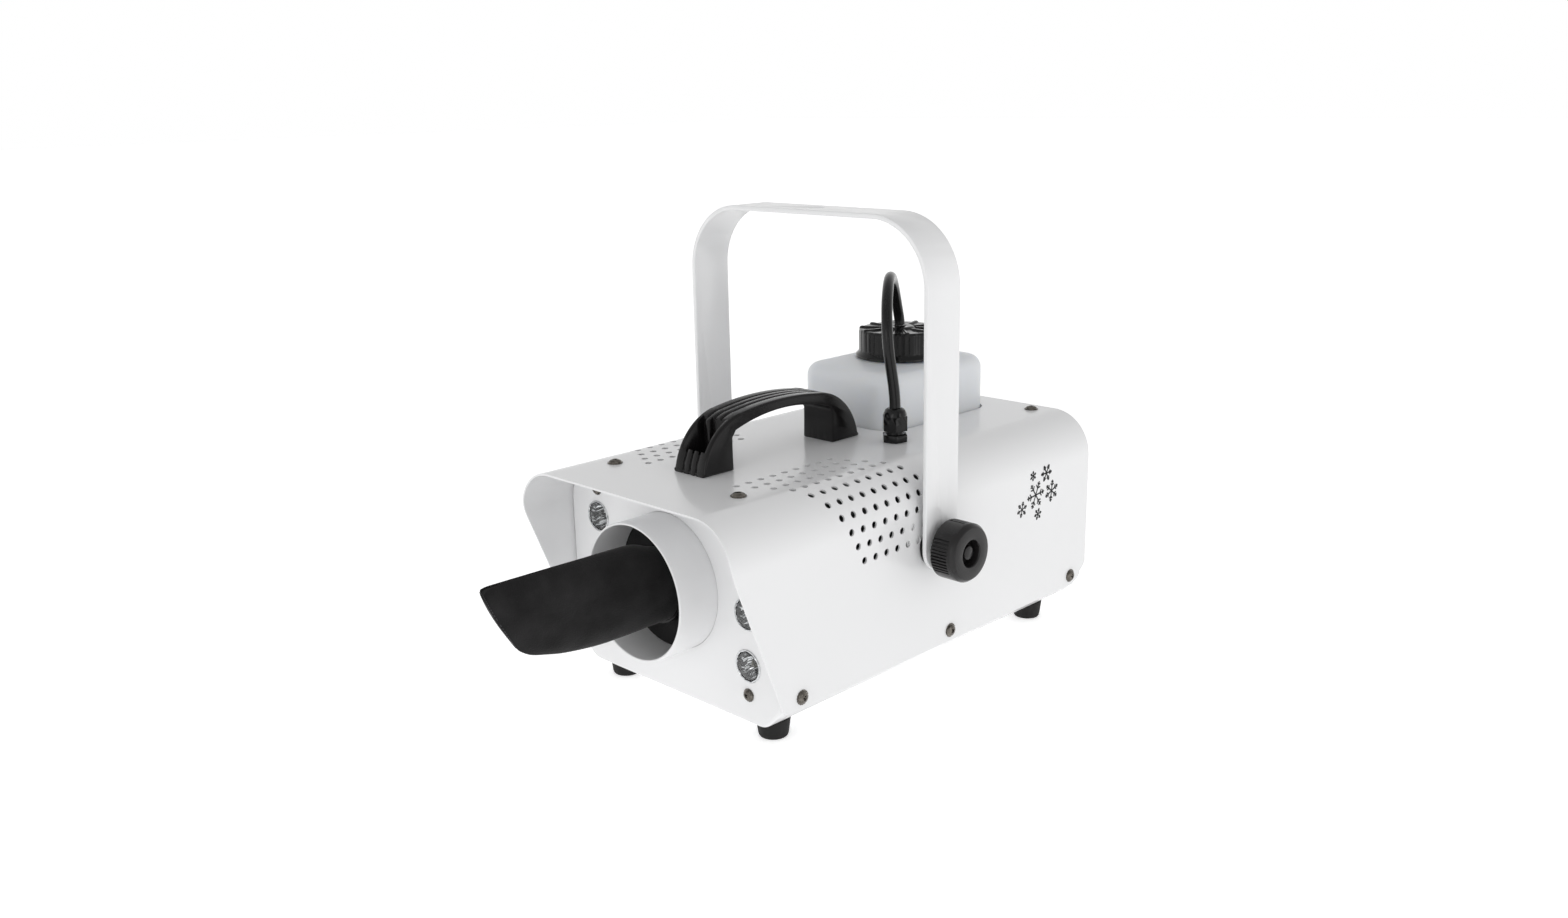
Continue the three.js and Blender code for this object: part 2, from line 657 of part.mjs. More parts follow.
// ---------------------------------------------------------------- fluid bottle, cap and pickup tube

function bottleOutline(inset) {
  return roundedRectangle(
    BOTTLE.left + inset, BOTTLE.right - inset, BOTTLE.front + inset, BOTTLE.rear - inset,
    BOTTLE.corner - inset,
  );
}

function fluidBottle() {
  const axis = [NECK.x, NECK.y, 0];
  const body = softBlock(bottleOutline(0), BOTTLE.bottom, BOTTLE.top, BOTTLE.edge);
  const shoulder = rod(24.5, BOTTLE.top - 2, CAP.bottom - GAP, "z", axis, 24);
  const neck = rod(NECK.radius, BOTTLE.top - 2, CAP.top - 4, "z", axis, 24);
  const hollow = softBlock(
    bottleOutline(BOTTLE.wall), BOTTLE.bottom + BOTTLE.wall, BOTTLE.top - BOTTLE.wall, BOTTLE.edge - 1,
  );
  const mouth = rod(NECK.radius - NECK.wall, BOTTLE.top - 10, CAP.top, "z", axis, 24);
  return cut(join(body, shoulder, neck), hollow, mouth);
}

function bottleCap() {
  const inner = NECK.radius + 0.8;
  const profile = [
    [CAP.hole, CAP.top], [CAP.radius - 2, CAP.top], [CAP.radius, CAP.top - 2], [CAP.radius, CAP.bottom + 3],
    [CAP.skirt, CAP.bottom + 1.5], [CAP.skirt, CAP.bottom], [inner, CAP.bottom], [inner, CAP.top - 3],
    [CAP.hole, CAP.top - 3],
  ];
  return turn(profile, "z", [NECK.x, NECK.y, 0], 30);
}

function pickupTube() {
  const bore = TUBE_RADIUS - 1.2;
  const low = BOTTLE.bottom + 6;
  const high = CAP.top + 0.5;
  const profile = [[bore, low], [TUBE_RADIUS, low], [TUBE_RADIUS, high], [bore, high]];
  return turn(profile, "z", [NECK.x, NECK.y, 0], 12);
}

add("fluid_bottle", fluidBottle(), "milkyPlastic");
add("bottle_cap", bottleCap(), "blackPlastic");
add("pickup_tube", pickupTube(), "blackRubber");

// ---------------------------------------------------------------- hose and its gland

// The hose climbs straight out of the gland, arches over and goes down into the middle of the cap.
// Each point is [place on the line from the gland to the cap, height, sideways bow to the left].
const HOSE_ROUTE = [
  [0, 151.8, 0], [0, 158, 0.2], [0, 166, 1], [0, 176, 2.4], [0.3, 187, 3.9], [1.7, 198, 4.8],
  [5.9, 207.5, 5.3], [12.8, 215.6, 5.5], [21.9, 221.8, 5.4], [32.5, 225.7, 5.2], [43.8, 227, 4.9],
  [55.1, 225.7, 4.5], [65.7, 221.8, 4], [74.8, 215.6, 3.3], [81.7, 207.5, 2.3], [86.1, 198.6, 1.1],
  [87.4, 193.6, 0.4], [87.6, 189.4, 0],
];

function hosePoints() {
  const start = new THREE.Vector2(GLAND.x, GLAND.y);
  const end = new THREE.Vector2(NECK.x, NECK.y);
  const along = end.clone().sub(start).normalize();
  const left = new THREE.Vector2(-along.y, along.x);
  return HOSE_ROUTE.map(([reach, height, bow]) => {
    const place = start.clone().addScaledVector(along, reach).addScaledVector(left, bow);
    return new THREE.Vector3(place.x, place.y, height);
  });
}

function fluidHose() {
  const circle = new THREE.Shape().absarc(0, 0, TUBE_RADIUS, 0, 2 * Math.PI);
  const route = new THREE.CatmullRomCurve3(hosePoints(), false, "centripetal");
  const geometry = new THREE.ExtrudeGeometry(circle, { extrudePath: route, steps: 24, curveSegments: 10 });
  return solid(geometry);
}

function hexagon(acrossCorners) {
  const corners = Array.from({ length: 6 }, (_, i) => {
    const angle = (i * Math.PI) / 3 + Math.PI / 12;
    return [acrossCorners * Math.cos(angle), acrossCorners * Math.sin(angle)];
  });
  return polygon(corners);
}

function glandBody() {
  const axis = [GLAND.x, GLAND.y, 0];
  const flange = extrude(hexagon(GLAND.acrossCorners), "z", CASE_HEIGHT + GAP, 135, 1).translate(axis);
  const threads = rod(5.5, 124, 146, "z", axis, 16);
  return join(flange, threads);
}

function glandNut() {
  const axis = [GLAND.x, GLAND.y, 0];
  const hex = extrude(hexagon(GLAND.acrossCorners), "z", 137.5, 146.5, 1).translate(axis);
  const dome = [[0, 145], [7.4, 145], [7.4, 147.5], [6.2, 150.4], [4.6, 151.5], [0, 151.5]];
  const bore = rod(5.9, 130, 146.6, "z", axis, 16);
  return cut(join(hex, turn(dome, "z", axis, 18)), bore);
}

add("fluid_hose", fluidHose(), "blackRubber");
add("gland_body", glandBody(), "blackPlastic");
add("gland_nut", glandNut(), "blackPlastic");

// ---------------------------------------------------------------- yoke, studs, washers and knobs

function yoke() {
  const half = YOKE.width / 2;
  const low = PIVOT.z - half - 5;
  const outer = archOutline(YOKE.side, YOKE.top, YOKE.radius, low);
  const inner = archOutline(
    YOKE.side - YOKE.sheet, YOKE.top - YOKE.sheet, YOKE.radius - YOKE.sheet, low - 5,
  );
  const band = [PIVOT.y - half - 5, PIVOT.y + half + 5];
  const sideView = new THREE.Shape();
  sideView.moveTo(PIVOT.y - half, YOKE.top + 5);
  sideView.lineTo(PIVOT.y - half, PIVOT.z);
  sideView.absarc(PIVOT.y, PIVOT.z, half, Math.PI, 2 * Math.PI);
  sideView.lineTo(PIVOT.y + half, YOKE.top + 5);
  const arch = cut(extrude(outer, "y", ...band, 8), extrude(inner, "y", band[0] - 5, band[1] + 5, 8));
  const strap = arch.intersect(extrude(sideView, "x", -YOKE.side - 5, YOKE.side + 5, 12));
  const pivots = rod(STUD_RADIUS + 0.5, -120, 120, "x", [0, PIVOT.y, PIVOT.z]);
  const hook = rod(5.5, YOKE.top - 10, YOKE.top + 10, "z", [0, PIVOT.y, 0], 16);
  return cut(strap, pivots, hook);
}

function pivotStud(side) {
  const ear = CHASSIS_SIDE - CHASSIS_SHEET - GAP;
  const profile = [
    [0, ear - 3.4], [8, ear - 3.4], [8, ear], [STUD_RADIUS, ear], [STUD_RADIUS, STUD_END], [0, STUD_END],
  ];
  return turn(side > 0 ? profile : flip(profile), "x", [0, PIVOT.y, PIVOT.z], 12);
}

function frictionWasher(side) {
  const from = CASE_SIDE + GAP;
  const to = YOKE.side - YOKE.sheet - GAP;
  const profile = [[STUD_RADIUS + 0.4, from], [13, from], [13, to], [STUD_RADIUS + 0.4, to]];
  return turn(side > 0 ? profile : flip(profile), "x", [0, PIVOT.y, PIVOT.z], 20);
}

// A round knob with a blind bore for its stud, and a post standing in the recess of its face.
function clampKnob(side) {
  const { boss, recess, post } = KNOB;
  const back = YOKE.side + GAP;
  const face = back + KNOB.length;
  const bore = STUD_RADIUS + 0.4;
  const boreEnd = STUD_END + 1;
  const profile = [
    [0, boreEnd], [bore, boreEnd], [bore, back], [boss.radius, back], [boss.radius, back + boss.height],
    [KNOB.radius, back + boss.height], [KNOB.radius, face - 2.5], [KNOB.radius - 2, face],
    [recess.mouth, face], [recess.floor, face - recess.depth], [post.radius, face - recess.depth],
    [post.radius, face - post.drop - 0.7], [post.radius - 0.7, face - post.drop], [0, face - post.drop],
  ];
  return turn(side > 0 ? profile : flip(profile), "x", [0, PIVOT.y, PIVOT.z], 28);
}

add("yoke", yoke(), "whitePaint");
for (const [sideName, side] of Object.entries(SIDES)) {
  add(`pivot_stud_${sideName}`, pivotStud(side), "screwMetal");
  add(`friction_washer_${sideName}`, frictionWasher(side), "blackRubber");
  add(`clamp_knob_${sideName}`, clampKnob(side), "blackPlastic");
}

// ---------------------------------------------------------------- feet

function foot(x, y) {
  const profile = [
    [0, -FOOT.height], [7.6, -FOOT.height], [8.7, -FOOT.height + 1.4], [10.2, -GAP], [2.2, -GAP],
    [2.2, 3.5], [0, 3.5],
  ];
  return turn(profile, "z", [x, y, 0], 16);
}

const FOOT_NAMES = ["foot_front_left", "foot_front_right", "foot_rear_left", "foot_rear_right"];
footPlaces().forEach(([x, y], i) => add(FOOT_NAMES[i], foot(x, y), "blackRubber"));

// ---------------------------------------------------------------- rear panel fittings

const PANEL = CHASSIS_REAR + GAP;

// A three-pin inlet: a flanged socket with three flat pins standing in it.
function powerInlet() {
  const flange = box(spread(REAR_COLUMN, 16), [PANEL, PANEL + 2.2], spread(INLET_HEIGHT, 12.5));
  const body = box(spread(REAR_COLUMN, 13.7), [274, PANEL + 1], spread(INLET_HEIGHT, 10.2));
  const socket = box(spread(REAR_COLUMN, 12), [280, 300], spread(INLET_HEIGHT, 8.2));
  const pinPlaces = [[-7, -2], [7, -2], [0, 2]];
  const pins = pinPlaces.map(([x, z]) =>
    box(spread(REAR_COLUMN + x, 1), [279, 290], spread(INLET_HEIGHT + z, 2.5)),
  );
  return join(cut(join(flange, body), socket), ...pins);
}

const ROCKER_AXIS = { y: 296.3, tilt: (9 * Math.PI) / 180 };

function switchHousing() {
  const flange = box(spread(REAR_COLUMN, 8.4), [PANEL, PANEL + 1.8], spread(SWITCH_HEIGHT, 11.6));
  const body = box(spread(REAR_COLUMN, 6.5), [276, PANEL + 1], spread(SWITCH_HEIGHT, 9.5));
  const recess = box(spread(REAR_COLUMN, 5.6), [291.5, 300], spread(SWITCH_HEIGHT, 8.8));
  return cut(join(flange, body), recess);
}

function switchRocker() {
  const outline = polygon([[-2, -7.2], [1.7, -7.7], [0.5, 0], [1.7, 7.7], [-2, 7.2]]);
  const across = spread(REAR_COLUMN, 5.1);
  const degrees = (ROCKER_AXIS.tilt * 180) / Math.PI;
  return extrude(outline, "x", ...across)
    .rotate([-degrees, 0, 0])
    .translate([0, ROCKER_AXIS.y, SWITCH_HEIGHT]);
}

function buttonHousing() {
  const profile = [
    [4.6, 284], [6, 284], [6, PANEL], [8.2, PANEL], [8.2, PANEL + 2.4], [7.4, PANEL + 3], [4.6, PANEL + 3],
  ];
  return turn(profile, "y", [REAR_COLUMN, 0, BUTTON_HEIGHT], 18);
}

function testButton() {
  const profile = [[0, 290], [4.2, 290], [4.2, BUTTON_END - 0.8], [3.4, BUTTON_END], [0, BUTTON_END]];
  return turn(profile, "y", [REAR_COLUMN, 0, BUTTON_HEIGHT], 16);
}

add("power_inlet", powerInlet(), "blackPlastic");
add("switch_housing", switchHousing(), "blackPlastic");
add("switch_rocker", switchRocker(), "blackPlastic");
add("button_housing", buttonHousing(), "blackPlastic");
add("test_button", testButton(), "redPlastic");

machine.position.set(0, -(SOCK_END + BUTTON_END) / 2, FOOT.height);

const snowMachine = new THREE.Group();
snowMachine.add(machine);

export default snowMachine;
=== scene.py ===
import json
import math

import bmesh
import bpy
from mathutils import Matrix, Vector, noise
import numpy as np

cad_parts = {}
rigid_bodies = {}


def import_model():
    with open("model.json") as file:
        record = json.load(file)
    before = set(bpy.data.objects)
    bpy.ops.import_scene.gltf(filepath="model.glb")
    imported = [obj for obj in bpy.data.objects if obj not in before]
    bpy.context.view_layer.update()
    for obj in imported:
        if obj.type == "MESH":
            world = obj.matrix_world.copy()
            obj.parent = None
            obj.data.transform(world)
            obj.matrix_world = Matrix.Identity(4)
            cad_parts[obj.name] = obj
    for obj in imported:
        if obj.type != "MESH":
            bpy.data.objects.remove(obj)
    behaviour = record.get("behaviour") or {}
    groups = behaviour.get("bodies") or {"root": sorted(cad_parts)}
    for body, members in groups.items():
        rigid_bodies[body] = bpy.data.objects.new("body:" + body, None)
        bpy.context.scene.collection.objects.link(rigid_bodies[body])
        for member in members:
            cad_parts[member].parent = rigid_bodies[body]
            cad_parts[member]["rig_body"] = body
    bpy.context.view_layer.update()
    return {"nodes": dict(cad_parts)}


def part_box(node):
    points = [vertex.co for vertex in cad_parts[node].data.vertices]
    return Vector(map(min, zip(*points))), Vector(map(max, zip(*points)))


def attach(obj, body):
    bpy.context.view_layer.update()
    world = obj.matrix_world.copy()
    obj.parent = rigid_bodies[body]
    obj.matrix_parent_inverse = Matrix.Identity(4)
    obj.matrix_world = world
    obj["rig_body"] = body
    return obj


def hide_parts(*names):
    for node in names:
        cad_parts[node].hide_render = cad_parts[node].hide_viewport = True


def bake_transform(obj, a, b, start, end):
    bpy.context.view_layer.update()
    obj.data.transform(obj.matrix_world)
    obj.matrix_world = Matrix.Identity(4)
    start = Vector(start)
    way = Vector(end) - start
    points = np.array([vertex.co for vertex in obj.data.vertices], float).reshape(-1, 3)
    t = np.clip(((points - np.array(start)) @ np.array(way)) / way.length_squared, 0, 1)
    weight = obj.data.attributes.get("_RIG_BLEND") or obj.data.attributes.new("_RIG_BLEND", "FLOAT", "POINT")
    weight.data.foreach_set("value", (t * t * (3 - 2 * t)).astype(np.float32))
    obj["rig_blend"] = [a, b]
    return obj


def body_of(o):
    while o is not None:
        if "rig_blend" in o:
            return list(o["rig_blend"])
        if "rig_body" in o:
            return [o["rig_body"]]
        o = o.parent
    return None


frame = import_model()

# ---- where things are
# Lengths below are millimetres in the machine's own frame: x across the case, y back from the front panel's
# face, z up from the underside of the chassis.

MM = 0.001
PANEL_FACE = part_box("chassis")[0].y
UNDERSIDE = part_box("chassis")[0].z

CASE_SIDE = 92.25
CASE_TOP = 130.0
CASE_LENGTH = 296.0
COVER_RADIUS = 28.0
COVER_SHEET = 1.2
COVER_FOOT = 13.0
COVER_FRONT = 0.4
COVER_REAR_CORNER = (25.0, 282.0)
HOOD_FRONT = -36.0
HOOD_CORNER_HEIGHT = 105.0
CHASSIS_SHEET = 1.5
CHASSIS_SIDE = 90.75
CHASSIS_TOP = 128.5
CHASSIS_RADIUS = 26.5
CHASSIS_REAR = 294.5
OUTLET_HEIGHT = 70.0
LAMP_COLUMN = 64.4
LAMP_HEIGHTS = (34.9, 65.6, 96.0)
LAMP_SCREW_HEIGHTS = (17.5, 113.4)
LAMP_RADIUS = 9.7
PIVOT = (128.3, 80.6)
NECK = (-14.0, 224.0)
GLAND = (40.0, 155.0)
TUBE_RADIUS = 3.5
SIDES = (("left", -1), ("right", 1))


def at(x, y, z):
    """A point of the machine's frame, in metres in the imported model's frame."""
    return Vector((x * MM, PANEL_FACE + y * MM, UNDERSIDE + z * MM))


def middle(node):
    """The middle of a CAD piece's box, in the machine's frame."""
    low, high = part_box(node)
    centre = (low + high) / 2
    return centre.x / MM, (centre.y - PANEL_FACE) / MM, (centre.z - UNDERSIDE) / MM


def new_object(name, data):
    item = bpy.data.objects.new(name, data)
    bpy.context.scene.collection.objects.link(item)
    return item


# ---- camera

CAMERA_PLACE = (582.4, -489.1, 344.4)
CAMERA_AZIMUTH = 44.86
CAMERA_ELEVATION = 14.98
CAMERA_ROLL = -1.145
CAMERA_LENS = 31.67
CAMERA_SENSOR = 36.0


def add_camera():
    azimuth, elevation = math.radians(CAMERA_AZIMUTH), math.radians(CAMERA_ELEVATION)
    roll = math.radians(CAMERA_ROLL)
    back = Vector((
        math.sin(azimuth) * math.cos(elevation),
        -math.cos(azimuth) * math.cos(elevation),
        math.sin(elevation),
    ))
    level = Vector((math.cos(azimuth), math.sin(azimuth), 0.0))
    upright = back.cross(level)
    right = level * math.cos(roll) + upright * math.sin(roll)
    up = upright * math.cos(roll) - level * math.sin(roll)
    camera = new_object("camera", bpy.data.cameras.new("camera"))
    turn = Matrix((right, up, back)).transposed().to_4x4()
    camera.matrix_world = Matrix.Translation(at(*CAMERA_PLACE)) @ turn
    camera.data.lens = CAMERA_LENS
    camera.data.sensor_width = CAMERA_SENSOR
    bpy.context.scene.camera = camera


add_camera()

# ---- materials


def new_material(name):
    material = bpy.data.materials.new(name)
    material.use_nodes = True
    nodes = material.node_tree.nodes
    return material, nodes, material.node_tree.links, nodes["Principled BSDF"]


def set_inputs(node, **sockets):
    """Sets plain values; an underscore in a socket's name stands for a space."""
    for socket, value in sockets.items():
        node.inputs[socket.replace("_", " ")].default_value = value


def noise_node(nodes, links, scale, detail=3.0, stretch=(1.0, 1.0, 1.0)):
    """Noise in the object's own metres, so scale is in features per metre."""
    place = nodes.new("ShaderNodeTexCoord")
    mapping = nodes.new("ShaderNodeMapping")
    texture = nodes.new("ShaderNodeTexNoise")
    set_inputs(mapping, Scale=stretch)
    set_inputs(texture, Scale=scale, Detail=detail)
    links.new(place.outputs["Object"], mapping.inputs["Vector"])
    links.new(mapping.outputs["Vector"], texture.inputs["Vector"])
    return texture


def vary_colour(nodes, links, shader, source, colours, interpolation="EASE", span=(0.0, 1.0)):
    """Takes the colour from the first to the second of two as a noise goes over a span."""
    ramp = nodes.new("ShaderNodeValToRGB")
    ramp.color_ramp.interpolation = interpolation
    for element, position, colour in zip(ramp.color_ramp.elements, span, colours):
        element.position = position
        element.color = (*colour, 1)
    links.new(source, ramp.inputs["Fac"])
    links.new(ramp.outputs["Color"], shader.inputs["Base Color"])


def vary_roughness(nodes, links, shader, source, low, high):
    """Takes the roughness from low to high as a noise goes from 0 to 1."""
    spread = nodes.new("ShaderNodeMapRange")
    spread.interpolation_type = "SMOOTHERSTEP"
    set_inputs(spread, To_Min=low, To_Max=high)
    links.new(source, spread.inputs["Value"])
    links.new(spread.outputs["Result"], shader.inputs["Roughness"])


def add_grain(nodes, links, shader, source, strength, depth):
    """Lifts the surface by a noise; depth is in metres."""
    bump = nodes.new("ShaderNodeBump")
    set_inputs(bump, Strength=strength, Distance=depth)
    links.new(source, bump.inputs["Height"])
    links.new(bump.outputs["Normal"], shader.inputs["Normal"])


def surface(
    name, colour, roughness, metallic=0.0, tint=0.06, tint_scale=25.0, grain_scale=900.0,
    grain_depth=0.00002, grain_strength=0.3, stretch=(1.0, 1.0, 1.0), **sockets,
):
    """A procedural finish: colour and roughness drift slowly, and a fine grain lifts the surface."""
    material, nodes, links, shader = new_material(name)
    drift = noise_node(nodes, links, tint_scale).outputs["Fac"]
    darker = [c * (1 - tint) for c in colour]
    lighter = [min(c * (1 + tint), 1) for c in colour]
    vary_colour(nodes, links, shader, drift, (darker, lighter))
    vary_roughness(nodes, links, shader, drift, roughness * 0.88, roughness * 1.12)
    grain = noise_node(nodes, links, grain_scale, 2.0, stretch).outputs["Fac"]
    add_grain(nodes, links, shader, grain, grain_strength, grain_depth)
    set_inputs(shader, Metallic=metallic, **sockets)
    return material


WHITE_PAINT = surface(
    "white_powder_coat", (0.812, 0.814, 0.82), 0.3, tint=0.008, tint_scale=6.0,
    grain_depth=0.00003, grain_strength=0.12, Coat_Weight=0.4, Coat_Roughness=0.08,
)
BLACK_PLASTIC = surface(
    "black_moulded_plastic", (0.006, 0.0055, 0.0057), 0.22, tint=0.2, grain_scale=1600.0,
    grain_strength=0.15, Specular_IOR_Level=0.24,
)
KNOB_PLASTIC = surface(
    "black_knob_plastic", (0.012, 0.0112, 0.0115), 0.26, tint=0.2, grain_scale=1600.0,
    grain_strength=0.15, Specular_IOR_Level=0.34,
)
BLACK_GLOSS = surface(
    "black_gloss_plastic", (0.0045, 0.0045, 0.0047), 0.11, tint=0.15, grain_scale=1200.0,
    grain_strength=0.15, Specular_IOR_Level=0.28,
)
HOSE_RUBBER = surface(
    "black_hose", (0.006, 0.006, 0.0062), 0.2, tint=0.15, grain_strength=0.15, Specular_IOR_Level=0.3,
)
FOOT_RUBBER = surface(
    "black_rubber", (0.012, 0.0115, 0.0115), 0.68, tint=0.2, grain_scale=1500.0, grain_depth=0.00008,
    grain_strength=0.5, Specular_IOR_Level=0.25,
)
RED_PLASTIC = surface(
    "red_plastic", (0.45, 0.02, 0.015), 0.3, tint=0.08, grain_scale=1500.0, grain_strength=0.2,
)
# Painted reflections: the screws' metal is darkened and strongly mottled at a fine scale, standing in for
# the dark and light surroundings it mirrors.
SCREW_METAL = surface(
    "nickel_screw", (0.14, 0.129, 0.114), 0.2, metallic=1.0, tint=0.75, tint_scale=520.0,
    grain_scale=2500.0,
)
PLAIN_STEEL = surface(
    "zinc_steel", (0.55, 0.56, 0.57), 0.36, metallic=1.0, tint=0.08, tint_scale=60.0, grain_scale=400.0,
    stretch=(1.0, 12.0, 1.0),
)
BRASS = surface("brass", (0.62, 0.43, 0.17), 0.3, metallic=1.0, tint=0.08, tint_scale=200.0)
# Painted reflections: the lamp chrome is strongly mottled at a fine scale, standing in for the light and
# dark surroundings it mirrors.
CHROME = surface(
    "lamp_chrome", (0.62, 0.63, 0.64), 0.08, metallic=1.0, tint=0.45, tint_scale=650.0,
    grain_scale=1500.0, grain_strength=0.1,
)
# Painted dark reflection: a near-black chrome for the reflector facets that stand in for mirrored dark
# surroundings.
PAINTED_REFLECTION_CHROME = surface(
    "lamp_chrome_painted_dark_reflection", (0.025, 0.026, 0.027), 0.14, metallic=1.0, tint=0.3, tint_scale=300.0,
    grain_scale=1500.0, grain_strength=0.1,
)
CIRCUIT_BOARD = surface(
    "circuit_board", (0.02, 0.13, 0.06), 0.4, tint=0.15, tint_scale=400.0, grain_scale=1500.0,
)
EMITTER = surface("lamp_emitter", (0.045, 0.04, 0.02), 0.3, tint=0.2, tint_scale=500.0)
DECAL_INK = surface("printed_ink", (0.012, 0.012, 0.013), 0.5, tint=0.1, tint_scale=500.0)
MILKY = surface(
    "milky_bottle", (0.80, 0.82, 0.845), 0.34, tint=0.02, tint_scale=14.0, grain_scale=500.0,
    grain_depth=0.00005, grain_strength=0.25, Subsurface_Weight=0.45,
    Subsurface_Radius=(0.018, 0.02, 0.024), Subsurface_Scale=1.0, Transmission_Weight=0.1,
)
LENS = surface(
    "lamp_lens", (0.97, 0.98, 0.98), 0.04, tint=0.01, grain_strength=0.1, Transmission_Weight=1.0, IOR=1.49,
)


def felt_material():
    """Pressed fibre: short hairs in two directions over a slow mottle, with a soft sheen."""
    material, nodes, links, shader = new_material("black_felt")
    mottle = noise_node(nodes, links, 60.0, 4.0).outputs["Fac"]
    both = nodes.new("ShaderNodeMath")
    both.operation = "ADD"
    for entry, stretch in enumerate(((1.0, 0.25, 1.0), (1.0, 1.0, 0.25))):
        fibre = noise_node(nodes, links, 1500.0, 4.0, stretch)
        links.new(fibre.outputs["Fac"], both.inputs[entry])
    colours = ((0.0075, 0.0072, 0.0075), (0.0165, 0.016, 0.0165))
    vary_colour(nodes, links, shader, mottle, colours, "LINEAR", (0.35, 0.7))
    add_grain(nodes, links, shader, both.outputs["Value"], 0.6, 0.0003)
    set_inputs(shader, Roughness=0.95, Specular_IOR_Level=0.2, Sheen_Weight=0.12, Sheen_Roughness=0.5)
    return material


FELT = felt_material()

# ---- mesh tools


def new_mesh(name, points, faces):
    mesh = bpy.data.meshes.new(name)
    mesh.from_pydata(points, [], faces)
    return mesh


def weld(mesh, distance):
    """Merges points that lie together and turns all faces outwards."""
    work = bmesh.new()
    work.from_mesh(mesh)
    bmesh.ops.remove_doubles(work, verts=work.verts, dist=distance)
    bmesh.ops.recalc_face_normals(work, faces=work.faces)
    work.to_mesh(mesh)
    work.free()


def shade_smooth(mesh, angle):
    """Smooth shading, with edges sharper than an angle in degrees kept sharp."""
    for polygon in mesh.polygons:
        polygon.use_smooth = True
    mesh.set_sharp_from_angle(angle=math.radians(angle))


def add_piece(name, points, faces, material, body, replaces=(), slot=None, smooth=35.0):
    """A piece from points in the machine's frame, riding on a body."""
    mesh = new_mesh(name, [at(*p) for p in points], faces)
    mesh.validate()
    weld(mesh, 1e-6)
    return place_mesh(name, mesh, material, body, replaces, smooth)


def place_mesh(name, mesh, material, body, replaces=(), smooth=35.0):
    piece = new_object(name, mesh)
    mesh.materials.clear()
    mesh.materials.append(material)
    if smooth is not None:
        shade_smooth(mesh, smooth)
    if body is not None:
        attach(piece, body)
    if replaces:
        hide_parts(*replaces)
    return piece


def bake(piece, kind, **settings):
    """Applies one modifier to a piece and leaves the plain mesh."""
    modifier = piece.modifiers.new(kind.lower(), kind)
    for key, value in settings.items():
        setattr(modifier, key, value)
    depsgraph = bpy.context.evaluated_depsgraph_get()
    finished = bpy.data.meshes.new_from_object(piece.evaluated_get(depsgraph))
    piece.modifiers.clear()
    piece.data = finished


def soften(piece, width, segments=3, angle=30.0):
    """Rounds a piece's edges; width is in millimetres."""
    bake(
        piece, "BEVEL", width=width * MM, segments=segments, limit_method="ANGLE",
        angle_limit=math.radians(angle), use_clamp_overlap=True, harden_normals=True,
        miter_outer="MITER_ARC",
    )
    shade_smooth(piece.data, 35.0)


def carve(piece, cutter_meshes, crossing=False):
    """Cuts meshes out of a piece; crossing says that a cutter's own parts cross each other."""
    for mesh in cutter_meshes:
        cutter = new_object("cutter", mesh)
        bake(piece, "BOOLEAN", object=cutter, operation="DIFFERENCE", solver="EXACT", use_self=crossing)
        bpy.data.objects.remove(cutter)


def refined(node, material, width, segments=3):
    """A CAD piece again, with its flat faces merged and its edges rounded."""
    source = frame["nodes"][node]
    mesh = source.data.copy()
    mesh.name = node + "_refined"
    work = bmesh.new()
    work.from_mesh(mesh)
    bmesh.ops.remove_doubles(work, verts=work.verts, dist=2e-6)
    bmesh.ops.dissolve_limit(work, angle_limit=math.radians(0.8), verts=work.verts, edges=work.edges)
    work.to_mesh(mesh)
    work.free()
    piece = place_mesh(mesh.name, mesh, material, body_of(source)[0], (node,))
    soften(piece, width, segments)


def ring_faces(rows, columns, closed_columns=True, closed_rows=False):
    faces = []
    for i in range(rows if closed_rows else rows - 1):
        for j in range(columns if closed_columns else columns - 1):
            a = i * columns + j
            b = i * columns + (j + 1) % columns
            c = ((i + 1) % rows) * columns + (j + 1) % columns
            d = ((i + 1) % rows) * columns + j
            faces.append((a, b, c, d))
    return faces


def end_caps(rows, columns):
    """The faces that close the first and the last row of a tube."""
    return [tuple(range(columns)), tuple(range((rows - 1) * columns, rows * columns))]


AXES = {
    "x": (Vector((1, 0, 0)), Vector((0, 1, 0)), Vector((0, 0, 1))),
    "y": (Vector((0, 1, 0)), Vector((0, 0, 1)), Vector((1, 0, 0))),
    "z": (Vector((0, 0, 1)), Vector((1, 0, 0)), Vector((0, 1, 0))),
}


def turned(profile, axis, centre, sides, shape=None):
    """Points and faces of a body of revolution. profile is (radius, place along the axis); a profile that
    starts and ends off the axis closes on itself. sides is a count, or a list of the angles in radians.
    shape(angle, radius, along) may change radius and place."""
    along_axis, first, second = AXES[axis]
    origin = Vector(centre)
    angles = [2 * math.pi * k / sides for k in range(sides)] if isinstance(sides, int) else sides
    points = []
    for radius, along in profile:
        for angle in angles:
            r, s = (radius, along) if shape is None else shape(angle, radius, along)
            out = first * math.cos(angle) + second * math.sin(angle)
            points.append(origin + along_axis * s + out * r)
    closed = profile[0][0] > 0 and profile[-1][0] > 0
    return points, ring_faces(len(profile), len(angles), True, closed)


def arc_points(centre, radius, start, end, count):
    """Points of an arc in a plane, angles in degrees."""
    return [
        (
            centre[0] + radius * math.cos(math.radians(start + (end - start) * k / count)),
            centre[1] + radius * math.sin(math.radians(start + (end - start) * k / count)),
        )
        for k in range(count + 1)
    ]


